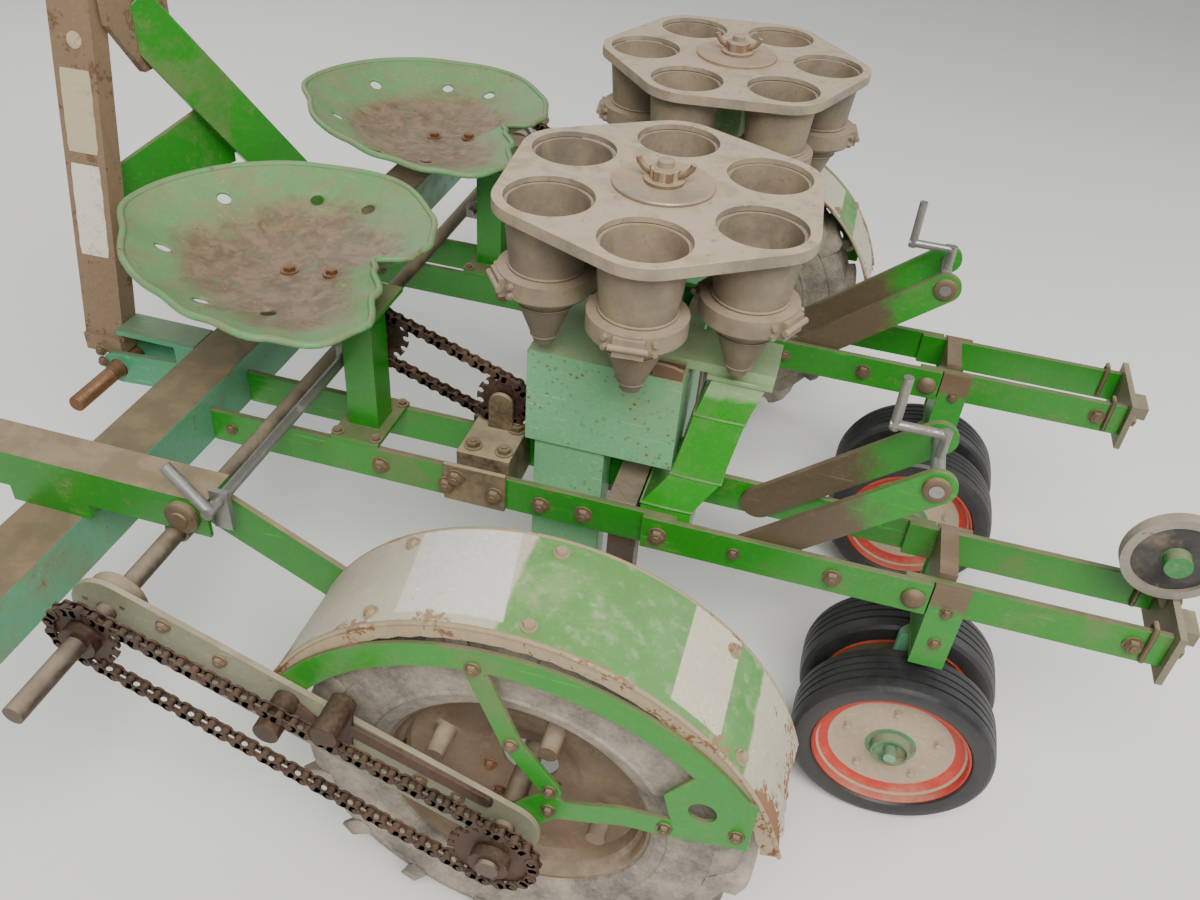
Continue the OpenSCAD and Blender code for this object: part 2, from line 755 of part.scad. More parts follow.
// The seedlings' box between cups and furrow, with a slot in its top and a chute in its floor
module chute_boxes() {
  front = -work_x - 11;
  rear = front - 228;
  tube = front - 14;
  color(mint) place() rows() difference() {
    union() {
      block([rear, box_right, box_floor], [front, box_left, box_top]);
      block([tube - 110, -46, opener_top], [tube, 6, box_floor]);
    }
    block([rear + sheet_t, box_right + sheet_t, box_floor + sheet_t],
          [front - sheet_t, box_left - sheet_t, box_top - sheet_t]);
    block([tube - 110 + sheet_t, -46 + sheet_t, opener_top - 1],
          [tube - sheet_t, 6 - sheet_t, box_floor + 5]);
    block([rear + 6, -20, box_top - 7], [rear + 49, 5, box_top + 3]);
  }
}

// Stations of the arm's box section: place behind the junction block, across the row, height,
// length, width
arm_stations = [
  [-243, 0, rail_bottom, 76, 92],
  [-244, 0, rail_top + 5, 76, 92],
  [-278, -24, 550, 74, 90],
  [-295, -56, 640, 74, 88],
  [-313, -68, 700, 76, 88]
];
carrier_top = 722;

module arm_slab(s) {
  translate([s[0] - work_x - s[3] / 2, s[1] - s[4] / 2, s[2]]) cube([s[3], s[4], 0.5]);
}

module carousel_arms() {
  color(bright) place() rows() {
    for (k = [0 : 3]) hull() {
      arm_slab(arm_stations[k]);
      arm_slab(arm_stations[k + 1]);
    }
    block([-work_x - 360, -drum_off - 44, 700], [-work_x - 267, -20, box_top]);
    block([-work_x - 360, -drum_off - 44, box_top], [-drum_back + 45, -drum_off + 44, carrier_top]);
    translate([-drum_back, -drum_off, carrier_top]) {
      cylinder(d = hub_d - 8, h = drum_z - hub_h - carrier_top - run_gap);
      cylinder(d = post_d, h = drum_z - post_top - run_gap - carrier_top);
    }
  }
}

module furrow_openers() {
  color(rust) place() rows() {
    difference() {
      plate_y(-22, 22) translate([-work_x, 0]) polygon([[50, 0], [-215, 0], [-215, opener_top],
        [-30, opener_top], [60, 165], [82, 55]]);
      block([-work_x - 145, -16, -2], [-work_x - 45, 16, opener_top + 15]);
    }
    block([-work_x - 200, -20, opener_top], [-work_x - 155, 20, rail_bottom]);
    block([-work_x - 200, -rail_in, rail_bottom], [-work_x - 155, rail_in, rail_top]);
  }
}

lug_reach = 29;
tyre_sides = 24;

// A slanted bar from the tread's middle to its shoulder, its corners at the wheel's full radius
module lug(side) {
  half = wheel_w / 2;
  foot = carcass_r - 8;
  tip = sqrt(pow(wheel_r, 2) - pow(lug_reach, 2));
  rotate([90, 0, 90]) translate([0, 0, foot]) linear_extrude(tip - foot)
    polygon([[-lug_reach, side * -2], [-2, side * -2], [lug_reach, side * (half - 3)],
      [8, side * (half - 3)]]);
}

module drive_tyre() {
  half = wheel_w / 2;
  color(rubber) translate([-wheel_back, wheel_y, axle_z]) rotate([90, 0, 0]) {
    rotate_extrude($fn = tyre_sides) polygon([[rim_r, -half + 22], [rim_r + 45, -half + 4],
      [carcass_r - 40, -half], [carcass_r, -half + 12], [carcass_r, half - 12], [carcass_r - 40, half],
      [rim_r + 45, half - 4], [rim_r, half - 22]]);
    for (side = [-1, 1], k = [0 : lug_count - 1]) rotate((k + side / 4) * 360 / lug_count) lug(side);
  }
}

// Dished steel rim: flanges, well, disc set back, hub
module drive_rim() {
  edge = wheel_w / 2 - 16;
  sheet = 5;
  hub_r = 52;
  color(rust) translate([-wheel_back, wheel_y, axle_z]) rotate([90, 0, 0]) difference() {
    union() {
      rotate_extrude($fn = tyre_sides) polygon([
        [rim_r, -edge], [rim_r, edge], [rim_r - sheet, edge], [rim_r - sheet - 8, 12],
        [rim_r - 34, 6], [hub_r + 30, 2], [hub_r, -14], [hub_r, -14 - sheet], [hub_r + 32, 2 - sheet],
        [rim_r - 34, 6 - sheet], [rim_r - sheet - 8, 0], [rim_r - sheet, -edge]]);
      translate([0, 0, -46]) cylinder(r = hub_r - 12, h = 92);
      translate([0, 0, -22]) cylinder(r = hub_r + 2, h = 12);
    }
    translate([0, 0, -100]) cylinder(d = wheel_axle_d + 2 * run_gap, h = 200);
    for (k = [0 : 3]) rotate(k * 90 + 20) translate([rim_r - 58, 0, -50]) cylinder(d = 26, h = 100);
  }
}

module press_tyre(side_y) {
  half = press_w / 2;
  color(rubber) translate([-press_back, side_y, press_z]) rotate([90, 0, 0]) rotate_extrude($fn = tyre_sides)
    polygon([[press_r - 36, -half + 6], [press_r - 10, -half], [press_r, -half + 12],
      [press_r, half - 12], [press_r - 10, half], [press_r - 36, half - 6]]);
}

// Dished disc with a rolled edge and a boss
module press_disc(side_y) {
  rim = press_r - 36;
  half = press_w / 2 - 6;
  sheet = 4;
  face = side_y > row_y || (side_y < 0 && side_y > -row_y) ? -1 : 1;
  color(cream) translate([-press_back, side_y, press_z]) rotate([90, 0, 0]) difference() {
    union() {
      rotate_extrude($fn = tyre_sides) polygon([
        [rim, -half], [rim, half], [rim - sheet, half], [rim - sheet, face * 22 + 4],
        [rim - 26, face * 14 + 4], [40, face * 20 + 4], [30, face * 20 + 4], [30, face * 20],
        [40, face * 20], [rim - 26, face * 14], [rim - sheet, face * 22 - 4], [rim - sheet, -half]]);
      translate([0, 0, -half]) cylinder(d = 62, h = 2 * half);
    }
    translate([0, 0, -100]) cylinder(d = press_axle_d + 2 * run_gap, h = 200);
  }
}

module drum_at(row, turn) {
  translate([-drum_back, row * row_y - drum_off, 0]) rotate(turn) children();
}

// Hexagon with round corners, one round each cup
module plate_outline(corner_r) {
  for (k = [0 : 5]) rotate(k * 60) translate([cup_ring_r, 0]) circle(r = corner_r);
  polygon([for (k = [0 : 5], s = [-30, 30]) let (a = k * 60)
    cup_ring_r * [cos(a), sin(a)] + corner_r * [cos(a + s), sin(a + s)]]);
}

skirt_h = 17;
hub_d = 92;
hub_h = 60;
cover_d = 136;
post_d = 30;
post_top = 19;

module carousel() {
  color(dust) difference() {
    union() {
      translate([0, 0, drum_z - drum_t]) linear_extrude(drum_t) difference() {
        plate_outline(plate_corner_r);
        for (k = [0 : 5]) rotate(k * 60) translate([cup_ring_r, 0]) circle(d = cup_mouth_d);
      }
      translate([0, 0, drum_z - skirt_h]) linear_extrude(skirt_h) difference() {
        plate_outline(plate_corner_r);
        plate_outline(plate_corner_r - 5);
      }
      translate([0, 0, drum_z - hub_h]) cylinder(d = hub_d, h = hub_h);
      // Steel cover, washer and nut
      translate([0, 0, drum_z]) cylinder(d = cover_d, h = 5);
      translate([0, 0, drum_z + 5]) cylinder(d = 54, h = 5);
      translate([0, 0, drum_z + 10]) cylinder(d = 42, h = 15, $fn = 6);
      translate([0, 0, drum_z + 25]) cylinder(d = 22, h = 9);
    }
    translate([0, 0, drum_z - 100]) cylinder(d = post_d + 2 * run_gap, h = 100 - post_top);
  }
}

ring_top = 98;
ring_h = 32;
ring_r = cup_mouth_d / 2 + 7;
cup_wall = 5;

// A cup is lathed: tapered upper sleeve, clip ring, cone of two flaps
module cup_shell() {
  mouth = cup_mouth_d / 2;
  neck = mouth - 9;
  rotate_extrude() polygon([
    [mouth, -drum_t], [neck, -ring_top], [ring_r, -ring_top - 2], [ring_r, -ring_top - ring_h + 5],
    [ring_r - 4, -ring_top - ring_h], [neck - 4, -ring_top - ring_h - 2], [cup_tip_d / 2, -cup_depth],
    [cup_tip_d / 2 - cup_wall, -cup_depth], [neck - 5 - cup_wall, -ring_top - ring_h - 2],
    [neck - cup_wall, -ring_top], [mouth - cup_wall, -drum_t]]);
}

// Two bosses and a pin on each side of the ring carry the flaps
module cup_hinge(side) {
  boss_w = 20;
  translate([0, side * (ring_r - 3), -ring_top - ring_h / 2]) {
    translate([-boss_w, side > 0 ? -2 : -8, -ring_h / 2 + 2]) cube([2 * boss_w, 10, ring_h - 6]);
    rotate([0, 90, 0]) translate([0, side * 9, -boss_w - 5]) cylinder(d = 9, h = 2 * boss_w + 10, $fn = 16);
  }
}

module cups() {
  color(dust) for (k = [0 : 5]) rotate(k * 60) translate([cup_ring_r, 0, drum_z]) {
    cup_shell();
    for (side = [-1, 1]) rotate(90) cup_hinge(side);
  }
}

module rot_place(row) {
  place() drum_at(row, row > 0 ? -25 : 9) children();
}

module side_place(side) {
  place() scale([1, side, 1]) children();
}

toolbar();
lower_link_brackets();
lower_link_pins();
mast();
mast_brace();
wheel_arms();
outer_arms();
wheel_axles();
drive_shaft();
shaft_bearings();
sprockets();
drive_chains();
chain_tensioners();
fenders();
fender_struts();
wheel_cranks();
seat_posts();
seats();
front_links();
junction_blocks();
row_rails();
rear_rails();
end_plates();
depth_arms();
depth_cranks();
press_brackets();
chute_boxes();
carousel_arms();
furrow_openers();
side_place(1) drive_tyre();  // drive_tyre_left
side_place(1) drive_rim();  // drive_rim_left
side_place(-1) drive_tyre();  // drive_tyre_right
side_place(-1) drive_rim();  // drive_rim_right
place() press_tyre(row_y + press_y);  // press_tyre_left_outer
place() press_tyre(row_y - press_y);  // press_tyre_left_inner
place() press_tyre(-row_y - press_y);  // press_tyre_right_outer
place() press_tyre(-row_y + press_y);  // press_tyre_right_inner
place() press_disc(row_y + press_y);  // press_disc_left_outer
place() press_disc(row_y - press_y);  // press_disc_left_inner
place() press_disc(-row_y - press_y);  // press_disc_right_outer
place() press_disc(-row_y + press_y);  // press_disc_right_inner
rot_place(1) carousel();  // carousel_left
rot_place(-1) carousel();  // carousel_right
rot_place(1) cups();  // cups_left
rot_place(-1) cups();  // cups_right
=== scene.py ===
import math
import random

import bmesh
import bpy
from mathutils import Matrix, Vector


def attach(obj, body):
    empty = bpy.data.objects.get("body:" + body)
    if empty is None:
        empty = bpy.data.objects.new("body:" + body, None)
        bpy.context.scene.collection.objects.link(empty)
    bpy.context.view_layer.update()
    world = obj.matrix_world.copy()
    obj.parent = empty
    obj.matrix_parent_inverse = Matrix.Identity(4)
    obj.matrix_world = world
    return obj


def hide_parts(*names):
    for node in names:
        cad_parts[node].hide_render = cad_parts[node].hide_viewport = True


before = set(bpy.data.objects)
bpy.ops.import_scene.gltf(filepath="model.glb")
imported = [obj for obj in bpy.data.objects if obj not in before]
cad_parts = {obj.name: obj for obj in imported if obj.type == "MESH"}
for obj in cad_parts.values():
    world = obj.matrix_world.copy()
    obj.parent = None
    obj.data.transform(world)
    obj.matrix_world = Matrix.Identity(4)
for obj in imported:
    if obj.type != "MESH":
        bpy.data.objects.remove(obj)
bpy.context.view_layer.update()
print("CAD solids loaded")

# Distances from the toolbar's middle are moved by this much along X
shiftX = 0.634
rowPlaces = {"left": 0.280, "right": -0.280}
sides = {"left": 1, "right": -1}
axle = {"x": -0.701 + shiftX, "z": 0.320}
depthPin = {"x": -1.144 + shiftX, "z": 0.660}
handWheel = {"x": -1.480 + shiftX, "z": 0.588, "dish": 0.0565, "hub": 0.019}


def here(x, y, z):
    # a place measured from the toolbar in millimetres, as a point in metres
    return Vector((x / 1000 + shiftX, y / 1000, z / 1000))


# How shader maths is written

def linear(red, green, blue):
    # a colour as seen, 0 to 255, in the renderer's own scale
    def lift(value):
        value /= 255
        return value / 12.92 if value <= 0.04045 else ((value + 0.055) / 1.055) ** 2.4
    return (lift(red), lift(green), lift(blue), 1.0)


def darker(colour, factor):
    return tuple(c * factor for c in colour[:3]) + (1.0,)


def operator(operation, swapped=False):
    # arithmetic between a socket and another value, the other one first when swapped
    def operate(tone, other):
        return tone.bench.maths(operation, *((other, tone) if swapped else (tone, other)))
    return operate


class Tone:
    # one socket; plain arithmetic on it adds Math nodes
    def __init__(self, bench, socket):
        self.bench = bench
        self.socket = socket

    __add__, __radd__ = operator("ADD"), operator("ADD", True)
    __sub__, __rsub__ = operator("SUBTRACT"), operator("SUBTRACT", True)
    __mul__, __rmul__ = operator("MULTIPLY"), operator("MULTIPLY", True)
    __pow__, most = operator("POWER"), operator("MAXIMUM")

    def clamp(self):
        return self.bench.add("ShaderNodeClamp", {}, {"Value": self})

    def between(self, low, high):
        # 0 below low, 1 above high, soft in between
        return self.bench.add("ShaderNodeMapRange", {"interpolation_type": "SMOOTHSTEP"},
                              {"Value": self, "From Min": low, "From Max": high})

    def band(self, low, high, soft):
        # 1 between two values, with soft borders
        return self.between(low - soft, low + soft) * (1 - self.between(high - soft, high + soft))


class NodeBench:
    # adds nodes to a tree and feeds their inputs
    def feed(self, socket, value):
        if isinstance(value, Tone):
            self.tree.links.new(value.socket, socket)
        elif hasattr(socket, "default_value"):
            if isinstance(value, (tuple, list)) and len(socket.default_value) == 3:
                value = value[:3]
            socket.default_value = value

    def add(self, kind, settings, inputs):
        node = self.tree.nodes.new(kind)
        for key, value in settings.items():
            setattr(node, key, value)
        for key, value in inputs.items():
            self.feed(node.inputs[key], value)
        return Tone(self, node.outputs[0])

    def maths(self, operation, *values):
        return self.add("ShaderNodeMath", {"operation": operation}, dict(enumerate(values)))


class PaintShop(NodeBench):
    # one material and its nodes
    def __init__(self, name):
        self.material = bpy.data.materials.new(name)
        self.material.use_nodes = True
        self.tree = self.material.node_tree
        self.tree.nodes.clear()
        self.surface = self.tree.nodes.new("ShaderNodeBsdfPrincipled")
        output = self.tree.nodes.new("ShaderNodeOutputMaterial")
        self.tree.links.new(self.surface.outputs[0], output.inputs["Surface"])
        coordinates = self.tree.nodes.new("ShaderNodeTexCoord")
        self.place = Tone(self, coordinates.outputs["Object"])
        self.facing = Tone(self, coordinates.outputs["Normal"])

    def stretched(self, scale, turn=(0, 0, 0)):
        return self.add("ShaderNodeMapping", {}, {"Vector": self.place, "Rotation": turn, "Scale": scale})

    def clouds(self, scale, detail=4.0, rough=0.55, at=None, twist=0.0):
        return self.add("ShaderNodeTexNoise", {}, {"Vector": at or self.place, "Scale": scale,
                                                   "Detail": detail, "Roughness": rough,
                                                   "Distortion": twist})

    def cells(self, scale, feature="F1"):
        return self.add("ShaderNodeTexVoronoi", {"feature": feature},
                        {"Vector": self.place, "Scale": scale})

    def axes(self, vector):
        split = self.tree.nodes.new("ShaderNodeSeparateXYZ")
        self.feed(split.inputs[0], vector)
        return [Tone(self, socket) for socket in split.outputs]

    def blend(self, share, first, second, way="MIX"):
        node = self.tree.nodes.new("ShaderNodeMix")
        node.data_type = "RGBA"
        node.blend_type = way
        self.feed(node.inputs[0], share)
        self.feed(node.inputs[6], first)
        self.feed(node.inputs[7], second)
        return Tone(self, node.outputs[2])

    def bump(self, height, strength, distance):
        return self.add("ShaderNodeBump", {},
                        {"Height": height, "Strength": strength, "Distance": distance})

    def finish(self, **inputs):
        for key, value in inputs.items():
            self.feed(self.surface.inputs[key.replace("_", " ")], value)
        return self.material


# Finishes

def toned(shop, colour, factor):
    # a colour, or a tone that varies, made lighter or darker
    return shop.blend(1.0, colour, (factor, factor, factor, 1), "MULTIPLY")


def dustyPaint(shop, paint, under, dust, dustAmount, rustAmount, gloss, spotColour=None, worn=None):
    # brushed or sprayed enamel with chips to the primer, rust, and dust on what faces up;
    # paint may be a function that paints zones, worn one that says where rust gathers
    paint = paint(shop) if callable(paint) else paint
    up = shop.axes(shop.facing)[2]
    wide = shop.clouds(3.1, 5, 0.6)
    middle = shop.clouds(17, 6, 0.62, twist=0.3)
    fine = shop.clouds(140, 4, 0.6)
    shade = shop.blend(((wide - 0.35) * 1.6).clamp(), toned(shop, paint, 0.7), paint)
    shade = shop.blend(fine.between(0.45, 0.8) * 0.25, shade, toned(shop, paint, 1.5))
    more = worn(shop) if worn else 0.0
    chips = (middle * 0.62 + fine * 0.38 + more).between(0.66 - 0.13 * rustAmount, 0.71 - 0.13 * rustAmount)
    runs = shop.clouds(1.0, 5, 0.7, at=shop.stretched((34, 34, 5)))
    stains = (runs * 0.55 + wide * 0.45).between(0.6 - 0.14 * rustAmount, 0.8)
    scratches = shop.clouds(1.0, 2, 0.5, at=shop.stretched((9, 240, 240), (0.1, 0.7, 0.35)))
    scratched = scratches.between(0.66, 0.7) * middle.between(0.45, 0.6) * 0.5
    colour = shop.blend(stains * 0.45, shade, under)
    colour = shop.blend(scratched, colour, toned(shop, paint, 1.9))
    colour = shop.blend(chips, colour, under)
    if spotColour:
        blots = 1 - shop.cells(95).between(0.1, 0.34)
        blots = (blots * middle.between(0.42, 0.6) * wide.between(0.36, 0.6)).clamp()
        colour = shop.blend(blots, colour, spotColour)
    lying = (up * 1.35 + (wide - 0.5) * 1.1 + (middle - 0.5) * 0.7).between(0.15, 1.15)
    caked = (wide * 0.55 + middle * 0.35 + fine * 0.1).between(0.5, 0.62)
    film = (lying * dustAmount + caked * dustAmount * 0.62).clamp()
    colour = shop.blend(film, colour, shop.blend(middle.between(0.4, 0.62), toned(shop, dust, 0.74), dust))
    rough = gloss + (1 - gloss) * (film * 0.85).most(chips * 0.8).most(stains * 0.4)
    height = fine * 0.25 - chips * 0.6 + film * fine * 0.5
    return shop.finish(Base_Color=colour, Roughness=rough.clamp(), Normal=shop.bump(height, 0.35, 0.0012))


def roundWheel(shop):
    # the angle about the drive wheels' axle in degrees, and how far out from the middle a place is
    x, y, z = shop.axes(shop.place)
    angle = shop.maths("ARCTAN2", z - axle["z"], x - axle["x"])
    return angle * math.degrees(1), shop.maths("ABSOLUTE", y)


def fenderZones(shop):
    # cream ends, blank pale area, green, blank cream plate and green again, by the angle round the wheel
    angle, wide = roundWheel(shop)
    ragged = shop.clouds(26, 6, 0.7) - 0.5
    cream, green = linear(206, 198, 174), linear(52, 150, 44)
    colour = shop.blend((angle + ragged * 3.0).band(86.6, 142, 0.6), cream, green)
    paleGreen = shop.clouds(48, 5, 0.6).between(0.5, 0.72)
    colour = shop.blend(paleGreen * 0.5, colour, linear(178, 190, 150))
    sheet = (angle + (wide - 0.7) * -30 + ragged * 0.8).band(64, 86, 0.25)
    colour = shop.blend(sheet * (1 - wide.between(0.752, 0.757)), colour, linear(238, 234, 222))
    plate = angle.band(121, 133.6, 0.12) * wide.band(0.606, 0.757, 0.0006)
    return shop.blend(plate, colour, linear(222, 214, 186))


def fenderWear(shop):
    # rust along the outer edge, at the torn rear end and low at the front
    angle, wide = roundWheel(shop)
    edge = wide.between(0.735, 0.772) * 0.13
    return edge + angle.between(138, 168) * 0.16 + (1 - angle.between(18, 52)) * 0.10


def seatZones(shop):
    # mint green rim round a worn brown hollow
    z = shop.axes(shop.place)[2]
    ragged = shop.clouds(11, 6, 0.65)
    patches = shop.clouds(26, 5, 0.6).between(0.42, 0.62)
    rim = (z + (ragged - 0.5) * 0.05).between(0.738, 0.762)
    green = shop.blend(patches * 0.5, linear(98, 168, 100), linear(146, 134, 100))
    soil = shop.clouds(34, 6, 0.7, twist=0.5)
    hollow = shop.blend(soil.between(0.4, 0.6), linear(146, 122, 96), linear(98, 76, 54))
    hollow = shop.blend(patches * soil.between(0.5, 0.62) * 0.7, hollow, linear(112, 150, 100))
    return shop.blend(rim, hollow, green)


def dialZones(shop):
    # the end plates' grey, and on the hand wheel a dark dish, green hub and pale rim
    x, z = shop.axes(shop.place)[::2]
    across, high = x - handWheel["x"], z - handWheel["z"]
    reach = (across * across + high * high) ** 0.5
    dish, hub = handWheel["dish"], handWheel["hub"]
    grey, dark = linear(150, 144, 130), linear(58, 56, 54)
    colour = shop.blend(1 - reach.between(dish - 0.0005, dish + 0.001), grey, dark)
    colour = shop.blend(1 - reach.between(hub - 0.0005, hub + 0.0005), colour, linear(40, 128, 60))
    return shop.blend(z.between(0.513, 0.516), linear(122, 116, 90), colour)


def cheekZones(shop):
    # brown plate between the rails, green cheeks, mint leg
    z = shop.axes(shop.place)[2]
    colour = shop.blend(z.between(0.33, 0.338), linear(116, 186, 142), linear(46, 148, 44))
    return shop.blend((z + shop.clouds(30, 4) * 0.02).between(0.455, 0.475), colour, linear(112, 92, 66))


def armZones(shop):
    # the bent arm is bright green with a worn mint cap
    z = shop.axes(shop.place)[2]
    ragged = (shop.clouds(30, 5, 0.6) - 0.5) * 0.03
    return shop.blend((z + ragged).between(0.668, 0.682), linear(42, 158, 34), linear(150, 186, 132))


def depthZones(shop):
    # a depth arm is green at its pin and brown with dust towards the rails
    x, z = shop.axes(shop.place)[::2]
    along = (x - depthPin["x"]) * 0.9 - (z - depthPin["z"]) * 0.43
    ragged = (shop.clouds(24, 5, 0.6) - 0.5) * 0.12
    return shop.blend((along + ragged).between(0.07, 0.13), linear(44, 148, 36), linear(96, 82, 60))


def rustyIron(shop, iron, rust, dust, dustAmount, grain=90, shine=0.0):
    # bare iron with rust in patches and dust on top
    up = shop.axes(shop.facing)[2]
    wide = shop.clouds(6, 5, 0.65)
    pits = shop.clouds(grain, 6, 0.7)
    patches = (wide * 0.6 + pits * 0.4).between(0.4, 0.62)
    colour = shop.blend(patches, iron, rust)
    colour = shop.blend(pits.between(0.5, 0.75) * 0.6, colour, darker(rust, 0.45))
    film = ((up + (wide - 0.5) * 1.4).between(0.1, 1.2) * dustAmount + pits * dustAmount * 0.25).clamp()
    colour = shop.blend(film, colour, dust)
    rough = (0.42 + patches * 0.35 + film * 0.3 - shine * 0.2).clamp()
    return shop.finish(Base_Color=colour, Roughness=rough, Normal=shop.bump(pits - wide * 0.3, 0.5, 0.0009),
                       Metallic=((1 - patches) * (1 - film) * 0.8).clamp())


def rubberTread(shop, rubber, dust, dustAmount, shine):
    # rubber with dust worn off its high places
    wide = shop.clouds(9, 5, 0.6)
    fine = shop.clouds(170, 5, 0.7)
    streaks = shop.clouds(1.0, 4, 0.6, at=shop.stretched((30, 8, 30)))
    film = ((wide * 0.6 + fine * 0.25 + streaks * 0.3).between(0.35, 0.8) * dustAmount).clamp()
    colour = shop.blend(film, rubber, dust)
    colour = shop.blend(fine.between(0.6, 0.8) * 0.3, colour, darker(dust, 0.6))
    rough = (shine + film * (0.95 - shine)).clamp()
    return shop.finish(Base_Color=colour, Roughness=rough, Normal=shop.bump(fine + film * 0.4, 0.4, 0.001))


def dustyCast(shop, body, shade, dust, dustAmount, rough=0.6, grain=60):
    # cast iron or moulded plastic under a coat of pale dust
    up = shop.axes(shop.facing)[2]
    wide = shop.clouds(7, 5, 0.6)
    grit = shop.clouds(grain, 6, 0.7)
    speck = shop.cells(240).between(0.05, 0.3)
    colour = shop.blend(wide.between(0.35, 0.65), body, shade)
    blotches = shop.clouds(19, 6, 0.65, twist=0.4)
    film = ((up * 0.7 + wide * 0.9 + (blotches - 0.5) * 2.4).between(0.1, 1.25) * dustAmount + 0.1).clamp()
    colour = shop.blend(film, colour, dust)
    colour = shop.blend(blotches.between(0.5, 0.66) * 0.45, colour, linear(120, 116, 78))
    colour = shop.blend(grit.between(0.56, 0.7) * 0.45, colour, linear(92, 80, 62))
    colour = shop.blend((1 - speck) * grit.between(0.5, 0.62) * 0.35, colour, darker(shade, 0.55))
    return shop.finish(Base_Color=colour, Roughness=(rough + film * 0.3).clamp(),
                       Normal=shop.bump(grit + film * 0.5, 0.5, 0.0014))


def galvanised(shop, steel, stain):
    # zinc coated rod, dull, with brown stains
    wide = shop.clouds(22, 5, 0.6)
    flakes = shop.cells(130, feature="SMOOTH_F1")
    stains = (wide * 0.7 + shop.clouds(150, 3) * 0.3).between(0.5, 0.7)
    colour = shop.blend(flakes * 0.5, steel, darker(steel, 0.7))
    colour = shop.blend(stains * 0.75, colour, stain)
    return shop.finish(Base_Color=colour, Metallic=((1 - stains) * 0.75).clamp(),
                       Roughness=(0.38 + stains * 0.4 + flakes * 0.1).clamp(),
                       Normal=shop.bump(wide + flakes * 0.2, 0.2, 0.0006))


def plainPaper(shop, paper, dirt):
    # a blank stuck-on plate, weathered at its edges
    wide = shop.clouds(14, 6, 0.65)
    fine = shop.clouds(160, 4, 0.6)
    smear = (wide * 0.7 + fine * 0.3).between(0.5, 0.68)
    colour = shop.blend(smear * 0.8, paper, dirt)
    return shop.finish(Base_Color=colour, Roughness=(0.5 + smear * 0.3).clamp(),
                       Normal=shop.bump(fine, 0.15, 0.0005))


brown, paleDust = (122, 104, 84), (168, 152, 128)

recipes = {
    # paint, what lies under it, dust, how much dust and rust, roughness
    dustyPaint: {
        "brightGreen": ((40, 140, 28), (98, 88, 52), brown, 0.7, 0.34, 0.3),
        "dustyGreen": ((40, 138, 30), (104, 88, 60), (142, 126, 98), 1.0, 0.45, 0.4),
        "depthGreen": (depthZones, (98, 82, 58), brown, 0.6, 0.3, 0.4),
        "clearGreen": (armZones, (82, 100, 48), brown, 0.34, 0.14, 0.25),
        "tubeTeal": ((98, 164, 124), (104, 88, 60), (126, 108, 82), 0.95, 0.5, 0.42),
        "bracketTeal": ((74, 158, 112), (96, 76, 52), brown, 0.5, 0.45, 0.4),
        "mintBox": ((126, 194, 138), (112, 100, 62), (140, 124, 92), 0.55, 0.2, 0.38, (86, 78, 44)),
        "legCream": ((142, 118, 90), (104, 74, 50), brown, 0.45, 0.9, 0.6),
        "armGrey": ((140, 140, 112), (110, 92, 64), paleDust, 0.7, 0.4, 0.55),
        "rimBrown": ((120, 98, 74), (84, 62, 44), paleDust, 0.5, 0.6, 0.6),
        "discCream": ((190, 170, 142), (124, 94, 66), paleDust, 0.4, 0.3, 0.5),
        "seatPaint": (seatZones, (108, 78, 52), (138, 118, 92), 0.26, 0.5, 0.5),
        "fenderZones": (fenderZones, (128, 84, 50), (186, 174, 146), 0.22, 0.3, 0.45, None, fenderWear),
        "fenderEdge": ((176, 158, 124), (118, 74, 44), (150, 132, 104), 0.35, 1.0, 0.6),
        "endPlate": (dialZones, (96, 76, 54), paleDust, 0.45, 0.5, 0.5),
        "bracketGreen": (cheekZones, (98, 82, 58), brown, 0.5, 0.4, 0.4),
        "discRed": ((206, 52, 34), (140, 70, 50), (176, 150, 126), 0.35, 0.5, 0.45),
        "hubGreen": ((84, 140, 96), (98, 84, 60), (160, 142, 116), 0.5, 0.5, 0.5),
        "weldGreen": ((96, 170, 84), (120, 112, 80), brown, 0.4, 0.4, 0.5),
    },
    # iron, rust, dust, how much dust, grain
    rustyIron: {
        "blockBrown": ((104, 92, 74), (124, 102, 74), (160, 148, 118), 0.8),
        "pinRust": ((112, 78, 52), (120, 76, 46), (150, 124, 96), 0.4, 120),
        "chainIron": ((62, 48, 40), (86, 58, 42), brown, 0.35, 160),
        "shaftIron": ((84, 74, 66), (98, 76, 58), paleDust, 0.55, 110),
        "bareSteel": ((120, 112, 102), (100, 74, 54), paleDust, 0.35, 130, 0.5),
        "nutRust": ((132, 112, 90), (122, 92, 66), (172, 150, 122), 0.7, 120),
        "boltBrown": ((108, 94, 74), (104, 78, 54), (150, 134, 108), 0.62, 140),
        "coverSteel": ((150, 140, 124), (146, 108, 76), paleDust, 0.6, 60, 0.2),
    },
    galvanised: {
        "crankZinc": ((152, 150, 144), brown),
    },
    rubberTread: {
        "driveRubber": ((64, 61, 57), (176, 164, 146), 1.0, 0.6),
        "pressRubber": ((28, 29, 33), (96, 90, 80), 0.3, 0.38),
    },
    plainPaper: {
        "agedPlate": ((186, 172, 140), (118, 92, 64)),
        "blankPlate": ((214, 208, 190), (140, 122, 98)),
    },
    dustyCast: {
        "drumCast": ((104, 96, 84), (136, 122, 102), (176, 158, 134), 0.8),
        "cupPlastic": ((98, 90, 76), (122, 108, 88), (162, 142, 118), 0.62, 0.55, 120),
    },
}
finishes = {}
for maker, rows in recipes.items():
    for name, row in rows.items():
        values = [linear(*value) if isinstance(value, tuple) else value for value in row]
        finishes[name] = maker(PaintShop(name), *values)
print("finishes made:", len(finishes))

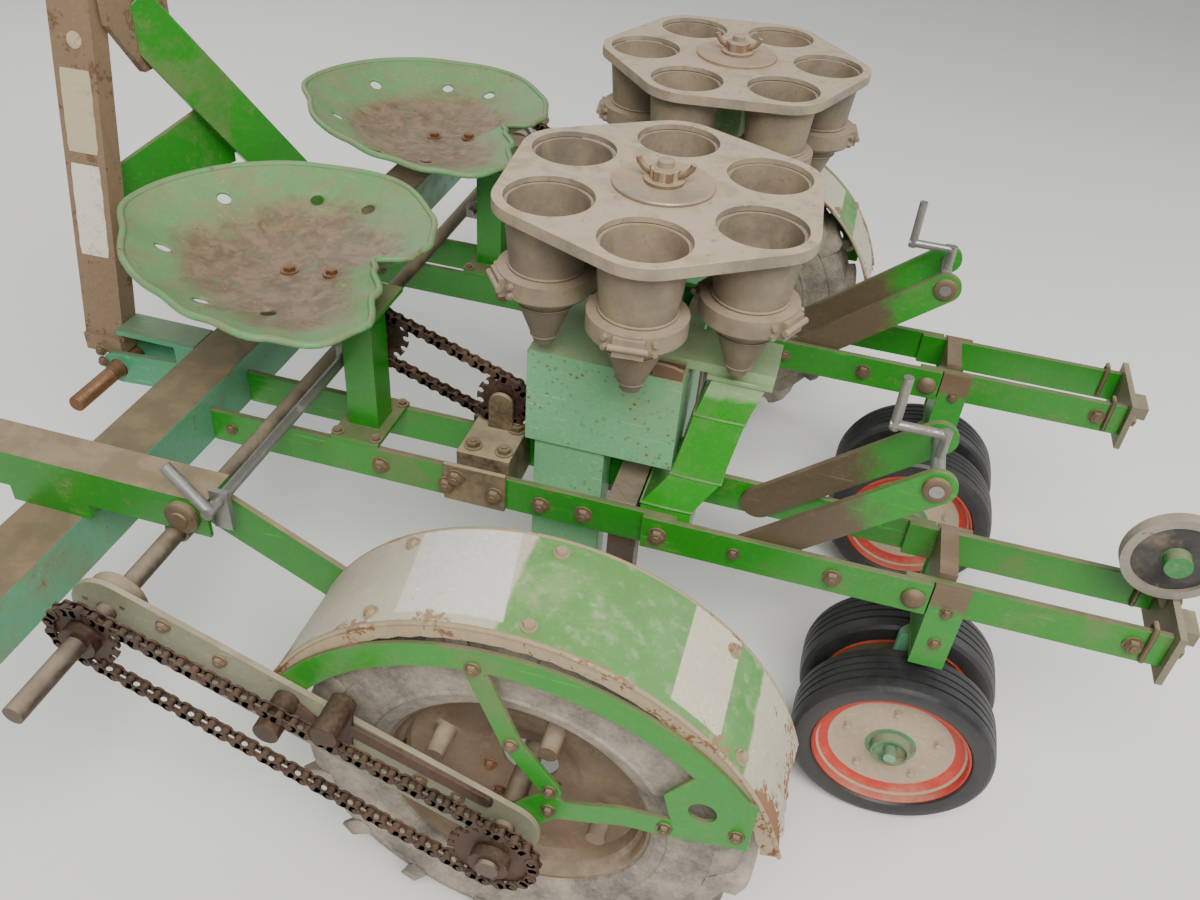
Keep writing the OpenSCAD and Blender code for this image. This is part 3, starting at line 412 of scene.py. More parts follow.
# Each node's finish, and how far its edges are rounded if they are
members = {
    "toolbar": ("tubeTeal", 0.004), "lower_link_brackets": ("bracketTeal", 0.002),
    "mast": ("legCream", 0.002), "mast_brace": ("brightGreen", 0.003),
    "wheel_arms": ("dustyGreen", 0.002), "outer_arms": ("armGrey", 0.0015),
    "fender_struts": ("brightGreen", 0.001), "seat_posts": ("brightGreen", 0.003),
    "front_links": ("brightGreen", 0.0018), "junction_blocks": ("blockBrown", 0.002),
    "row_rails": ("brightGreen", 0.0018), "rear_rails": ("brightGreen", 0.0018),
    "end_plates": ("endPlate", 0.0015), "depth_arms": ("depthGreen", 0.0018),
    "press_brackets": ("bracketGreen", 0.0018), "chute_boxes": ("mintBox", 0.0012),
    "carousel_arms": ("clearGreen", 0.003), "furrow_openers": ("bareSteel", 0.002),
    "shaft_bearings": ("blockBrown", 0.002), "wheel_cranks": ("crankZinc", 0.001),
    "depth_cranks": ("crankZinc", 0.001), "chain_tensioners": ("chainIron", 0.0012),
    "wheel_axles": ("shaftIron", 0), "drive_shaft": ("shaftIron", 0), "sprockets": ("chainIron", 0),
    "drive_chains": ("chainIron", 0), "fenders": ("fenderEdge", 0), "seats": ("seatPaint", 0),
    "lower_link_pins": ("pinRust", 0),
}
turning = {"drive_tyre": "driveRubber", "drive_rim": "rimBrown", "press_tyre": "pressRubber",
           "press_disc": "discCream", "carousel": "drumCast", "cups": "cupPlastic"}

for name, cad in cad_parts.items():
    found = [paint for start, paint in turning.items() if name.startswith(start)]
    cad.data.materials.clear()
    cad.data.materials.append(finishes[members[name][0] if name in members else found[0]])

# How pieces are made

def around(count):
    return [2 * math.pi * n / count for n in range(count)]


def added(name, data):
    # a new object in the scene
    thing = bpy.data.objects.new(name, data)
    bpy.context.scene.collection.objects.link(thing)
    return thing


def drilled(piece, cutters):
    # holes cut where the closed shapes of a bmesh pass through a piece
    drill = freshPiece("drill", cutters, [])
    hole = piece.modifiers.new("holes", "BOOLEAN")
    hole.operation = "DIFFERENCE"
    hole.object = drill
    applied(piece)
    bpy.data.objects.remove(drill)
    return piece


def settle(piece, body, slotName, *replaced):
    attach(piece, body)
    if replaced:
        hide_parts(*replaced)


def shaded(mesh, angle):
    # smooth, but sharp where faces meet at more than the angle
    for polygon in mesh.polygons:
        polygon.use_smooth = True
    mesh.set_sharp_from_angle(angle=math.radians(angle))


def bridged(work, ring, following, wrap=True):
    # faces between two rows of points
    for n in range(len(ring) if wrap else len(ring) - 1):
        after = (n + 1) % len(ring)
        work.faces.new([ring[n], ring[after], following[after], following[n]])


def freshPiece(name, work, paints, smooth=35):
    # a mesh object at the origin from a finished bmesh
    bmesh.ops.recalc_face_normals(work, faces=work.faces)
    mesh = bpy.data.meshes.new(name)
    work.to_mesh(mesh)
    work.free()
    shaded(mesh, smooth)
    piece = added(name, mesh)
    for paint in paints:
        mesh.materials.append(finishes[paint])
    return piece


def applied(piece):
    # the mesh as its modifiers leave it
    bpy.context.view_layer.update()
    graph = bpy.context.evaluated_depsgraph_get()
    mesh = bpy.data.meshes.new_from_object(piece.evaluated_get(graph), preserve_all_data_layers=True,
                                           depsgraph=graph)
    piece.modifiers.clear()
    piece.data = mesh
    return piece


def rounded(piece, width, angle=38):
    edges = piece.modifiers.new("edges", "BEVEL")
    edges.width = width
    edges.segments = 2
    edges.limit_method = "ANGLE"
    edges.angle_limit = math.radians(angle)
    edges.harden_normals = True
    return applied(piece)


def softened(node, width, paint, name):
    # the CAD solids of a node with their sharp edges rounded
    work = bmesh.new()
    work.from_mesh(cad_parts[node].data)
    bmesh.ops.remove_doubles(work, verts=work.verts, dist=0.00002)
    bmesh.ops.dissolve_limit(work, angle_limit=math.radians(0.6), verts=work.verts, edges=work.edges)
    return rounded(freshPiece(name, work, [paint]), width)


def turned(work, profile, centre, steps, axis="Y", paints=None):
    # a closed profile of (along, radius) turned about an axis through centre
    rings = []
    for angle in around(steps):
        across, up = math.cos(angle), math.sin(angle)
        rings.append([work.verts.new(centre + (Vector((across * r, a, up * r)) if axis == "Y"
                                               else Vector((across * r, up * r, a)))) for a, r in profile])
    for ring, following in zip(rings, rings[1:] + rings[:1]):
        for k in range(len(profile)):
            after = (k + 1) % len(profile)
            face = work.faces.new([ring[k], ring[after], following[after], following[k]])
            face.material_index = paints[k] if paints else 0
    bmesh.ops.remove_doubles(work, verts=work.verts, dist=0.00001)


def mirrored(half):
    return half + [(-a, r) for a, r in reversed(half)]


def facingSide(profile, side):
    return [(side * a, r) for a, r in profile]


def onCircle(centre, radius, angle, along=0.0):
    # a point round a wheel's axle, some way along it
    return centre + Vector((radius * math.cos(angle), along, radius * math.sin(angle)))


def boltCircle(centre, radius, count, shift, along, side):
    return [(onCircle(centre, radius, 2 * math.pi * (k + shift) / count, along), (0, side, 0))
            for k in range(count)]


def tubeAlong(work, path, radius, corners=10, closed=False):
    # a round bar along points
    points = [Vector(p) for p in path]
    rings = []
    for k, point in enumerate(points):
        before = points[k - 1] if k or closed else point
        after = points[(k + 1) % len(points)] if k + 1 < len(points) or closed else point
        ahead = (after - before).normalized()
        side = ahead.cross(Vector((0.13, 0.21, 0.97))).normalized()
        top = side.cross(ahead)
        rings.append([work.verts.new(point + (side * math.cos(a) + top * math.sin(a)) * radius)
                      for a in around(corners)])
    for ring, following in zip(rings, rings[1:] + (rings[:1] if closed else [])):
        bridged(work, ring, following)
    if not closed:
        work.faces.new(rings[0])
        work.faces.new(rings[-1])


def loft(work, sections):
    # closed sections of equal count joined in turn, with both ends shut
    rings = [[work.verts.new(point) for point in section] for section in sections]
    for ring, following in zip(rings, rings[1:]):
        bridged(work, ring, following)
    work.faces.new(rings[0])
    work.faces.new(rings[-1])


class GeoShop(NodeBench):
    # one Geometry Nodes tree on a mesh of points that carry the way they aim
    def __init__(self, name, sizes):
        self.tree = bpy.data.node_groups.new(name, "GeometryNodeTree")
        self.tree.is_modifier = True
        sockets = [("Geometry", "INPUT", "Geometry")] + [(size, "INPUT", "Float") for size in sizes]
        sockets += [("Finish", "INPUT", "Material"), ("Geometry", "OUTPUT", "Geometry")]
        for title, way, kind in sockets:
            self.tree.interface.new_socket(name=title, in_out=way, socket_type="NodeSocket" + kind)
        outputs = self.tree.nodes.new("NodeGroupInput").outputs
        self.points, self.paint = (Tone(self, outputs[end]) for end in ("Geometry", "Finish"))
        self.aim = self.add("GeometryNodeInputNamedAttribute", {"data_type": "FLOAT_VECTOR"},
                            {"Name": "aim"})
        self.sizes = [Tone(self, outputs[size]) for size in sizes]

    def moved(self, geometry, x=0.0, y=0.0, z=0.0, turn=(0, 0, 0)):
        place = self.add("ShaderNodeCombineXYZ", {}, {"X": x, "Y": y, "Z": z})
        return self.add("GeometryNodeTransform", {}, {"Geometry": geometry, "Translation": place,
                                                      "Rotation": turn})

    def disc(self, corners, radius, depth):
        return self.add("GeometryNodeMeshCylinder", {},
                        {"Vertices": corners, "Radius": radius, "Depth": depth})

    def slab(self, x, y, z):
        size = self.add("ShaderNodeCombineXYZ", {}, {"X": x, "Y": y, "Z": z})
        return self.add("GeometryNodeMeshCube", {}, {"Size": size})

    def joined(self, *parts):
        node = self.tree.nodes.new("GeometryNodeJoinGeometry")
        for part in parts:
            self.tree.links.new(part.socket, node.inputs[0])
        return Tone(self, node.outputs[0])

    def spread(self, instance, axis, pivot="AUTO"):
        rotation = self.add("FunctionNodeAlignRotationToVector", {"axis": axis, "pivot_axis": pivot},
                            {"Vector": self.aim})
        return self.add("GeometryNodeInstanceOnPoints", {},
                        {"Points": self.points, "Instance": instance, "Rotation": rotation})

    def close(self, instances):
        real = self.add("GeometryNodeRealizeInstances", {}, {"Geometry": instances})
        painted = self.add("GeometryNodeSetMaterial", {}, {"Geometry": real, "Material": self.paint})
        output = self.tree.nodes.new("NodeGroupOutput")
        self.tree.links.new(painted.socket, output.inputs[0])
        return self.tree


def boltTree():
    # hexagon head, washer and the end of its thread, standing on each point
    shop = GeoShop("hexBolts", ["Across Flats", "Head", "Washer", "Stud"])
    flats, head, washer, stud = shop.sizes
    hexagon = shop.moved(shop.disc(6, flats * 0.577, head), z=head * 0.5 + 0.0015)
    chamfer = shop.moved(shop.disc(12, flats * 0.47, 0.0012), z=head + 0.002)
    ring = shop.moved(shop.disc(20, washer, 0.0022), z=0.0009)
    thread = shop.moved(shop.disc(10, flats * 0.29, stud), z=stud * 0.5 + head)
    return shop.close(shop.spread(shop.joined(hexagon, chamfer, ring, thread), "Z"))


def linkTree():
    # two plates, a roller and a pin for each link, laid along the way the chain runs
    shop = GeoShop("chainLinks", ["Pitch", "Plate Height", "Plate Gap", "Plate Thickness", "Pin Length"])
    pitch, high, gap, thick, pin = shop.sizes
    flat = (math.pi / 2, 0, 0)
    eye = shop.disc(12, high * 0.5, thick)
    parts = []
    for way in (-1, 1):
        parts.append(shop.moved(shop.slab(pitch, thick, high * 0.72), y=gap * (0.5 * way)))
        for end in (-1, 1):
            parts.append(shop.moved(eye, x=pitch * (0.5 * end), y=gap * (0.5 * way), turn=flat))
    parts.append(shop.moved(shop.disc(12, high * 0.36, gap - thick), x=pitch * 0.5, turn=flat))
    parts.append(shop.moved(shop.disc(8, high * 0.19, pin), x=pitch * 0.5, turn=flat))
    return shop.close(shop.spread(shop.joined(*parts), "X", "Y"))


def repeated(name, tree, places, sizes, paint):
    # places are (point, aim), sizes in the tree's own order; its result becomes a plain mesh
    mesh = bpy.data.meshes.new(name)
    mesh.from_pydata([tuple(point) for point, aim in places], [], [])
    aims = mesh.attributes.new("aim", "FLOAT_VECTOR", "POINT")
    for k, (point, aim) in enumerate(places):
        aims.data[k].vector = aim
    piece = added(name, mesh)
    rig = piece.modifiers.new("spread", "NODES")
    rig.node_group = tree
    inputs = [item for item in tree.interface.items_tree if item.in_out == "INPUT"][1:]
    for item, value in zip(inputs, (*sizes, finishes[paint])):
        rig[item.identifier] = value
    applied(piece)
    if not piece.data.materials:
        piece.data.materials.append(finishes[paint])
    shaded(piece.data, 35)
    return piece


def bolted(name, places, sizes, paint, body, slotName):
    # sizes are the width across flats, the head's height, the washer's radius and the thread's end
    settle(repeated(name, hexBolts, places, sizes, paint), body, slotName)


hexBolts = boltTree()
chainLinks = linkTree()
print("ways of making pieces ready")

# Steel members with rounded edges

def makeSoftMembers():
    for node, (paint, width) in members.items():
        if width:
            settle(softened(node, width, paint, node + "_steel"), "frame", node, node)


makeSoftMembers()
print("steel members rounded")

# Drive wheels

driveWheel = {"y": 0.690, "carcass": 0.300, "lugs": 16, "steps": 96, "holeReach": 0.119,
              "bolt": (0.013, 0.006, 0.0095, 0.004), "valve": ((0, 0), (0.004, 0.012), (0.010, 0.026))}


def driveCentre(side):
    return Vector((axle["x"], side * driveWheel["y"], axle["z"]))


def makeDriveTyre(side, word):
    centre = driveCentre(side)
    half = [(0.040, 0.178), (0.050, 0.183), (0.055, 0.192), (0.058, 0.204), (0.0605, 0.206),
            (0.0605, 0.210), (0.059, 0.213), (0.061, 0.235), (0.0615, 0.254), (0.0605, 0.262),
            (0.062, 0.265), (0.0605, 0.269), (0.058, 0.280), (0.053, 0.291), (0.045, 0.298),
            (0.030, 0.3005), (0.012, 0.3015)]
    work = bmesh.new()
    turned(work, mirrored(half), centre, driveWheel["steps"])
    # each lug as (place across, turn in radians, half width, inner radius, outer radius)
    lug = [(-0.003, -0.055, 0.011, 0.294, 0.3195), (0.024, -0.028, 0.012, 0.294, 0.3195),
           (0.050, 0.030, 0.014, 0.288, 0.318), (0.0605, 0.052, 0.014, 0.274, 0.309),
           (0.0625, 0.060, 0.010, 0.262, 0.290)]
    for way in (-1, 1):
        for k in range(driveWheel["lugs"]):
            start = 2 * math.pi * (k + way * 0.25) / driveWheel["lugs"]
            sections = []
            for across, turn, width, low, high in lug:
                section = []
                for radius, squeeze in ((low, -1.25), (high, -0.9), (high, 0.9), (low, 1.25)):
                    angle = start + turn + width * squeeze / driveWheel["carcass"]
                    section.append(onCircle(centre, radius, angle, way * across))
                sections.append(section)
            loft(work, sections)
    piece = freshPiece("driveTyre" + word.title(), work, ["driveRubber"], 30)
    return rounded(piece, 0.0022, 50)


def makeDriveRim(side, word):
    centre = driveCentre(side)
    profile = [(0.0455, 0.1775), (0.0465, 0.1815), (0.044, 0.184), (0.042, 0.1815), (0.0425, 0.176),
               (0.036, 0.1735), (0.030, 0.166), (0.012, 0.162), (0.006, 0.150), (0.005, 0.142),
               (0.003, 0.100), (0.001, 0.083), (-0.006, 0.070), (-0.0135, 0.056), (-0.014, 0.040),
               (-0.0188, 0.040), (-0.019, 0.056), (-0.011, 0.072), (-0.004, 0.085), (-0.002, 0.100),
               (0.000, 0.142), (0.001, 0.148), (0.002, 0.158), (-0.030, 0.166), (-0.036, 0.1735),
               (-0.0425, 0.176), (-0.042, 0.1815), (-0.044, 0.184), (-0.0465, 0.1815), (-0.0455, 0.1775),
               (-0.030, 0.170), (0.030, 0.170)]
    work = bmesh.new()
    turned(work, facingSide(profile, side), centre, driveWheel["steps"])
    hub = [(0.046, 0.0156), (0.046, 0.036), (0.043, 0.040), (0.024, 0.040), (0.021, 0.0535),
           (0.011, 0.0535), (0.010, 0.040), (-0.043, 0.040), (-0.046, 0.036), (-0.046, 0.0156)]
    turned(work, facingSide(hub, side), centre, 48, paints=[1] * len(hub))
    piece = freshPiece("driveRim" + word.title(), work, ["rimBrown", "pinRust"])
    cutters = bmesh.new()
    for k in range(4):
        spot = onCircle(centre, driveWheel["holeReach"], math.radians(k * 90 + 20 * side))
        turned(cutters, [(-0.05, 0.0001), (-0.05, 0.013), (0.05, 0.013), (0.05, 0.0001)], spot, 20)
    return drilled(piece, cutters)


def makeDriveWheels():
    for word, side in sides.items():
        body = "drive_wheel_" + word
        settle(makeDriveTyre(side, word), body, "drive_tyre", "drive_tyre_" + word)
        settle(makeDriveRim(side, word), body, "drive_rim", "drive_rim_" + word)
        centre = driveCentre(side)
        spots = boltCircle(centre, 0.047, 5, 0.3, side * 0.021, side)
        spots += boltCircle(centre, 0.068, 6, 0.3, side * -0.0125, -side)
        bolted("hubBolts_" + word, spots, driveWheel["bolt"], "pinRust", body, "drive_rim")
        valve = bmesh.new()
        foot = centre + Vector((0.166, side * 0.022, 0.02))
        tubeAlong(valve, [foot + Vector((-back, side * out, 0)) for back, out in driveWheel["valve"]], 0.0035)
        settle(freshPiece("valve_" + word, valve, ["pressRubber"]), body, "drive_rim")


makeDriveWheels()
print("drive wheels made")

# Press wheels

pressWheel = {"x": -1.203 + shiftX, "z": 0.159, "apart": 0.064, "boltReach": 0.074,
              "bolt": (0.010, 0.004, 0.007, 0.002)}


def makePressWheel(word, row, way):
    centre = Vector((pressWheel["x"], row + way * pressWheel["apart"], pressWheel["z"]))
    work = bmesh.new()
    half = [(0.038, 0.1235), (0.0415, 0.126), (0.0435, 0.134), (0.0438, 0.143), (0.0425, 0.150),
            (0.038, 0.1555), (0.031, 0.1578), (0.0240, 0.1584), (0.0232, 0.1560), (0.0205, 0.1560),
            (0.0197, 0.1586), (0.0085, 0.1588), (0.0078, 0.1566), (0.0052, 0.1566), (0.0045, 0.1589)]
    turned(work, mirrored(half), centre, 80)
    tyre = freshPiece("pressTyre_" + word, work, ["pressRubber"], 28)
    # paints: 0 cream, 1 red, 2 green
    dish = [(0.0385, 0.1225, 1), (0.0395, 0.1195, 1), (0.037, 0.1175, 1), (0.028, 0.1165, 0),
            (0.0255, 0.113, 1), (0.0215, 0.1045, 1), (0.0190, 0.098, 0), (0.0175, 0.085, 0),
            (0.0165, 0.062, 0), (0.0195, 0.047, 0), (0.0225, 0.040, 2), (0.0235, 0.032, 2),
            (0.0375, 0.0305, 2), (0.0378, 0.0265, 2), (0.030, 0.0245, 2), (0.029, 0.0106, 2),
            (-0.037, 0.0106, 0), (-0.0375, 0.030, 0), (0.016, 0.0312, 0), (0.0185, 0.040, 0),
            (0.0155, 0.047, 0), (0.0125, 0.062, 0), (0.0135, 0.085, 0), (0.015, 0.098, 0),
            (0.0175, 0.1045, 0), (0.018, 0.1165, 0), (-0.037, 0.1175, 0), (-0.0395, 0.1195, 1),
            (-0.0385, 0.1225, 0)]
    work = bmesh.new()
    turned(work, [(way * a, r) for a, r, paint in dish], centre, 72, paints=[paint for a, r, paint in dish])
    disc = freshPiece("pressDisc_" + word, work, ["discCream", "discRed", "hubGreen"])
    return tyre, disc, centre


def makePressWheels():
    for side, row in rowPlaces.items():
        for place, way in (("outer", sides[side]), ("inner", -sides[side])):
            word = side + "_" + place
            tyre, disc, centre = makePressWheel(word, row, way)
            body = "press_wheel_" + word
            settle(tyre, body, "press_tyre", "press_tyre_" + word)
            settle(disc, body, "press_disc", "press_disc_" + word)
            spots = boltCircle(centre, pressWheel["boltReach"], 5, 0.2, way * 0.0172, way)
            bolted("discBolts_" + word, spots, pressWheel["bolt"], "discCream", body, "press_disc")


makePressWheels()
print("press wheels made")

# Seats

seatPan = {"x": -0.143 + shiftX, "off": -0.033, "z": 0.722, "sheet": 0.004, "rise": 0.066, "share": 0.97,
           "rings": 22, "steps": 144, "bead": 0.0052,
           "bolt": (0.017, 0.006, 0.014, 0.003)}
seatReach = [(0, 246), (28, 214), (50, 218), (74, 222), (97, 247), (116, 283), (130, 310), (143, 292),
             (157, 228), (174, 178), (183, 162), (190, 216), (202, 240), (223, 256), (250, 272), (284, 252),
             (309, 245), (331, 243), (360, 246)]
seatHoles = [(150, -110), (148, 60), (25, -180), (25, 160), (-62, -186), (-60, 132)]


def seatEdge(angle):
    # reach of the rim at an angle in degrees, eased between the stations
    for (a0, r0), (a1, r1) in zip(seatReach, seatReach[1:]):
        if angle <= a1:
            share = (1 - math.cos(math.pi * (angle - a0) / (a1 - a0))) / 2
            return seatPan["share"] * (r0 + (r1 - r0) * share) / 1000


def seatPoint(centre, share, angle):
    reach = seatEdge(angle) * share
    turn = math.radians(angle)
    lift = seatPan["rise"] * share ** 2.6 * (0.9 + 0.2 * math.cos(turn))
    return centre + Vector((reach * math.cos(turn), reach * math.sin(turn), seatPan["sheet"] + lift))


def makeSeat(row, word):
    centre = Vector((seatPan["x"], row + seatPan["off"], seatPan["z"]))
    work = bmesh.new()
    rings, steps = seatPan["rings"], seatPan["steps"]
    down = Vector((0, 0, seatPan["sheet"]))
    rims = []
    for drop in (Vector((0, 0, 0)), down):
        middle = work.verts.new(seatPoint(centre, 0.0, 0) - drop)
        grid = [[work.verts.new(seatPoint(centre, k / rings, 360 * n / steps) - drop) for n in range(steps)]
                for k in range(1, rings + 1)]
        for n in range(steps):
            work.faces.new([middle, grid[0][n], grid[0][(n + 1) % steps]])
        for inner, outer in zip(grid, grid[1:]):
            bridged(work, inner, outer)
        rims.append(grid[-1])
    bridged(work, *rims)
    pan = freshPiece("seatPan_" + word, work, ["seatPaint"], 60)
    cutters = bmesh.new()
    for x, y in seatHoles:
        turned(cutters, [(-0.02, 0.0001), (-0.02, 0.011), (0.12, 0.011), (0.12, 0.0001)],
               centre + Vector((x / 1000, y / 1000, 0)), 28, "Z")
    settle(drilled(pan, cutters), "frame", "seats", "seats")
    bead = bmesh.new()
    rim = [seatPoint(centre, 0.992, 360 * n / steps) - down * 0.6 for n in range(steps)]
    tubeAlong(bead, rim, seatPan["bead"], 10, True)
    settle(freshPiece("seatBead_" + word, bead, ["seatPaint"], 80), "frame", "seats")
    spots = [(seatPoint(centre, back / seatEdge(180), 180), (0, 0, 1)) for back in (0.09, 0.02)]
    bolted("seatBolts_" + word, spots, seatPan["bolt"], "pinRust", "frame", "seats")


for word, row in rowPlaces.items():
    makeSeat(row, word)
print("seats made")

# Fenders

fender = {"radius": 0.349, "sheet": 0.003, "y0": 0.610, "y1": 0.770, "flange": 0.024,
          "bolts": ((92.4, 0.632), (92.4, 0.752), (60, 0.632), (60, 0.752), (132, 0.632), (140, 0.752)),
          "bolt": (0.013, 0.005, 0.010, 0.002), "dents": ((25, 160), (0.62, 0.76), (8, 18), (0.4, 1.0))}


def makeFender(side, word):
    centre = Vector((axle["x"], 0, axle["z"]))
    random.seed(11)
    steps, cells = 116, 16
    dents = [[random.uniform(*span) for span in fender["dents"]] for k in range(9)]
    torn = [random.uniform(-1.0, 1.0) for k in range(cells + 1)]

    def skin(k, n, inside):
        share = n / cells
        y = fender["y0"] + (fender["y1"] - fender["y0"]) * share
        edge = 164.0 + 0.9 * torn[n] + (1.4 if n > cells * 0.8 else 0)
        front = 20.4 + 0.3 * torn[-n - 1]
        angle = front + (edge - front) * k / steps
        dent = sum(deep * math.exp(-((angle - a) / wide) ** 2 - ((y - where) / 0.03) ** 2)
                   for a, where, wide, deep in dents) * 0.0011
        curl = 0.0016 * max(0, (angle - 158) / 7) * torn[n]
        radius = fender["radius"] - dent + curl - (fender["sheet"] * 0.6 if inside else 0)
        return onCircle(centre, radius, math.radians(angle), side * y)

    work = bmesh.new()
    layers = [[[work.verts.new(skin(k, n, inside)) for n in range(cells + 1)] for k in range(steps + 1)]
              for inside in (False, True)]
    for layer in layers:
        for k in range(steps):
            bridged(work, layer[k], layer[k + 1], wrap=False)
    top, under = layers
    for n in (0, cells):
        bridged(work, [row[n] for row in top], [row[n] for row in under], wrap=False)
    for k in (0, steps):
        bridged(work, top[k], under[k], wrap=False)
    settle(freshPiece("fenderSkin_" + word, work, ["fenderZones"], 50), "frame", "fenders", "fenders")
    # flange on the outer edge, with a ragged lower rim
    work = bmesh.new()
    sections = []
    for k in range(0, steps + 1, 2):
        edge = skin(k, cells, False)
        radial = Vector((edge.x - centre.x, 0, edge.z - centre.z)).normalized()
        drop = fender["flange"] + 0.0012 * math.sin(k * 1.7)
        inward = Vector((0, side * 0.0025, 0))
        sections.append([edge, edge - radial * drop, edge - radial * drop - inward, edge - inward])
    loft(work, sections)
    settle(freshPiece("fenderFlange_" + word, work, ["fenderEdge"], 40), "frame", "fenders")
    bead = bmesh.new()
    tubeAlong(bead, [skin(k, 0, True) for k in range(0, steps + 1, 2)], 0.0032, 8)
    tubeAlong(bead, [skin(k, cells, True) for k in range(0, steps + 1, 2)], 0.003, 8)
    settle(freshPiece("fenderBeads_" + word, bead, ["fenderEdge"], 80), "frame", "fenders")
    spots = []
    for angle, y in fender["bolts"]:
        turn = math.radians(angle)
        out = Vector((math.cos(turn), 0, math.sin(turn)))
        spots.append((centre + Vector((0, side * y, 0)) + out * 0.3488, tuple(out)))
    bolted("fenderBolts_" + word, spots, fender["bolt"], "fenderEdge", "frame", "fenders")


for word, side in sides.items():
    makeFender(side, word)
print("fenders made")

# Chains

chain = {"pitch": 0.01905, "plate": 0.0158, "thick": 0.0016, "gaps": (0.0098, 0.0132),
         "drive": ((-0.183, 0.536, 14), (-0.701, 0.320, 18)),
         "row": ((-0.306, 0.645, 13), (-0.505, 0.572, 13)),
         "places": {"drive_left": 0.825, "drive_right": -0.825, "row_left": 0.2425, "row_right": -0.3175}}


def toothRadius(teeth):
    return chain["pitch"] / 2 / math.sin(math.pi / teeth)


def heading(turn):
    return Vector((math.cos(turn), math.sin(turn)))


def chainLoop(front, rear, y):
    # places and directions of the links of a chain round two sprockets, each (x, z, teeth)
    start, end = Vector(front[:2]), Vector(rear[:2])
    startRadius, endRadius = toothRadius(front[2]), toothRadius(rear[2])
    run = start - end
    tilt, quarter = math.atan2(run.y, run.x), math.pi / 2
    flare = math.asin((endRadius - startRadius) / run.length)
    length = run.length * math.cos(flare)
    wrapStart, wrapEnd = (math.pi - 2 * flare) * startRadius, (math.pi + 2 * flare) * endRadius
    total = 2 * length + wrapEnd + wrapStart
    count = 2 * round(total / chain["pitch"] / 2)
    places = []
    for k in range(count):
        u = total * k / count
        if u < length:
            ahead = tilt - flare
            flat = end + heading(ahead + quarter) * endRadius + heading(ahead) * u
        elif u < length + wrapStart:
            ahead = tilt - flare - (u - length) / startRadius
            flat = start + heading(ahead + quarter) * startRadius
        elif u < 2 * length + wrapStart:
            ahead = tilt + flare + math.pi
            flat = start + heading(ahead + quarter) * startRadius
            flat += heading(ahead) * (u - length - wrapStart)
        else:
            ahead = tilt + flare + math.pi - (u - 2 * length - wrapStart) / endRadius
            flat = end + heading(ahead + quarter) * endRadius
        places.append((Vector((flat.x + shiftX, y, flat.y)), (math.cos(ahead), 0, math.sin(ahead))))
    return places


def makeChains():
    for word, y in chain["places"].items():
        places = chainLoop(*chain[word.split("_")[0]], y)
        for layer, gap in enumerate(chain["gaps"]):
            sizes = (chain["pitch"], chain["plate"], gap, chain["thick"], gap + 0.003)
            piece = repeated("chain_" + word + str(layer), chainLinks, places[layer::2], sizes, "chainIron")
            nodes = ["drive_chains"] if word == "drive_left" and not layer else []
            settle(piece, "frame", "drive_chains", *nodes)


makeChains()
print("chains made")

# Hitch pins with their threads

hitchPin = {"x": 205, "z": 450, "inner": 149, "neck": 175, "shoulder": 239, "end": 351, "radius": 0.014,
            "threadFrom": 262, "pitch": 3.6}


def makeHitchPins():
    work = bmesh.new()
    for side in (1, -1):
        profile = [(hitchPin["inner"], 0.0001), (hitchPin["inner"], 0.020),
                   (hitchPin["inner"] + 2, 0.022), (hitchPin["neck"] - 2, 0.022),
                   (hitchPin["neck"], 0.0158), (hitchPin["shoulder"], 0.0158),
                   (hitchPin["shoulder"] + 0.5, hitchPin["radius"]),
                   (hitchPin["threadFrom"], hitchPin["radius"])]
        y = hitchPin["threadFrom"]
        while y < hitchPin["end"] - 6:
            profile += [(y + hitchPin["pitch"] * 0.5, 0.0128), (y + hitchPin["pitch"], hitchPin["radius"])]
            y += hitchPin["pitch"]
        profile += [(hitchPin["end"] - 1.5, 0.0135), (hitchPin["end"], 0.012), (hitchPin["end"], 0.0001)]
        turned(work, [(side * a / 1000, r) for a, r in profile], here(hitchPin["x"], 0, hitchPin["z"]), 36)
    settle(freshPiece("hitchPins", work, ["pinRust"], 30), "frame", "lower_link_pins", "lower_link_pins")


makeHitchPins()

# Bolts, pins and collars on the frame, as (x, y, z, aim) measured from the toolbar

rows = (280, -280)
railBolt = (0.019, 0.0075, 0.0145, 0.005)
smallBolt = (0.013, 0.005, 0.010, 0.004)


def rowFastened():
    large, small, domed = [], [], []
    for row in rows:
        for way in (1, -1):
            face = (0, way, 0)
            for x, y, z in ((-338, 61, 470), (-451, 69, 470), (-466, 69, 488), (-528, 69, 470),
                            (-600, 61, 466), (-668, 61, 468), (-785, 71, 470), (-1045, 71, 470),
                            (-1460, 61, 470)):
                large.append((here(x, row + way * y, z), face))
            for x, y, z in ((-1212, 69, 452), (-1212, 69, 388), (-80, 61, 470), (-900, 71, 470)):
                small.append((here(x, row + way * y, z), face))
            domed.append((here(-1161, row + way * 71, 468), face))
        for x, y in ((-327, 50), (-327, -50), (-263, 50), (-263, -50)):
            small.append((here(x, row + y, 508), (0, 0, 1)))
        for x, y in ((-530, 30), (-530, -30), (-480, 30)):
            large.append((here(x, row + y, 525), (0, 0, 1)))
        for y, z in ((-52, 470), (52, 470)):
            large.append((here(-1515, row + y, z), (-1, 0, 0)))
    return large, small, domed


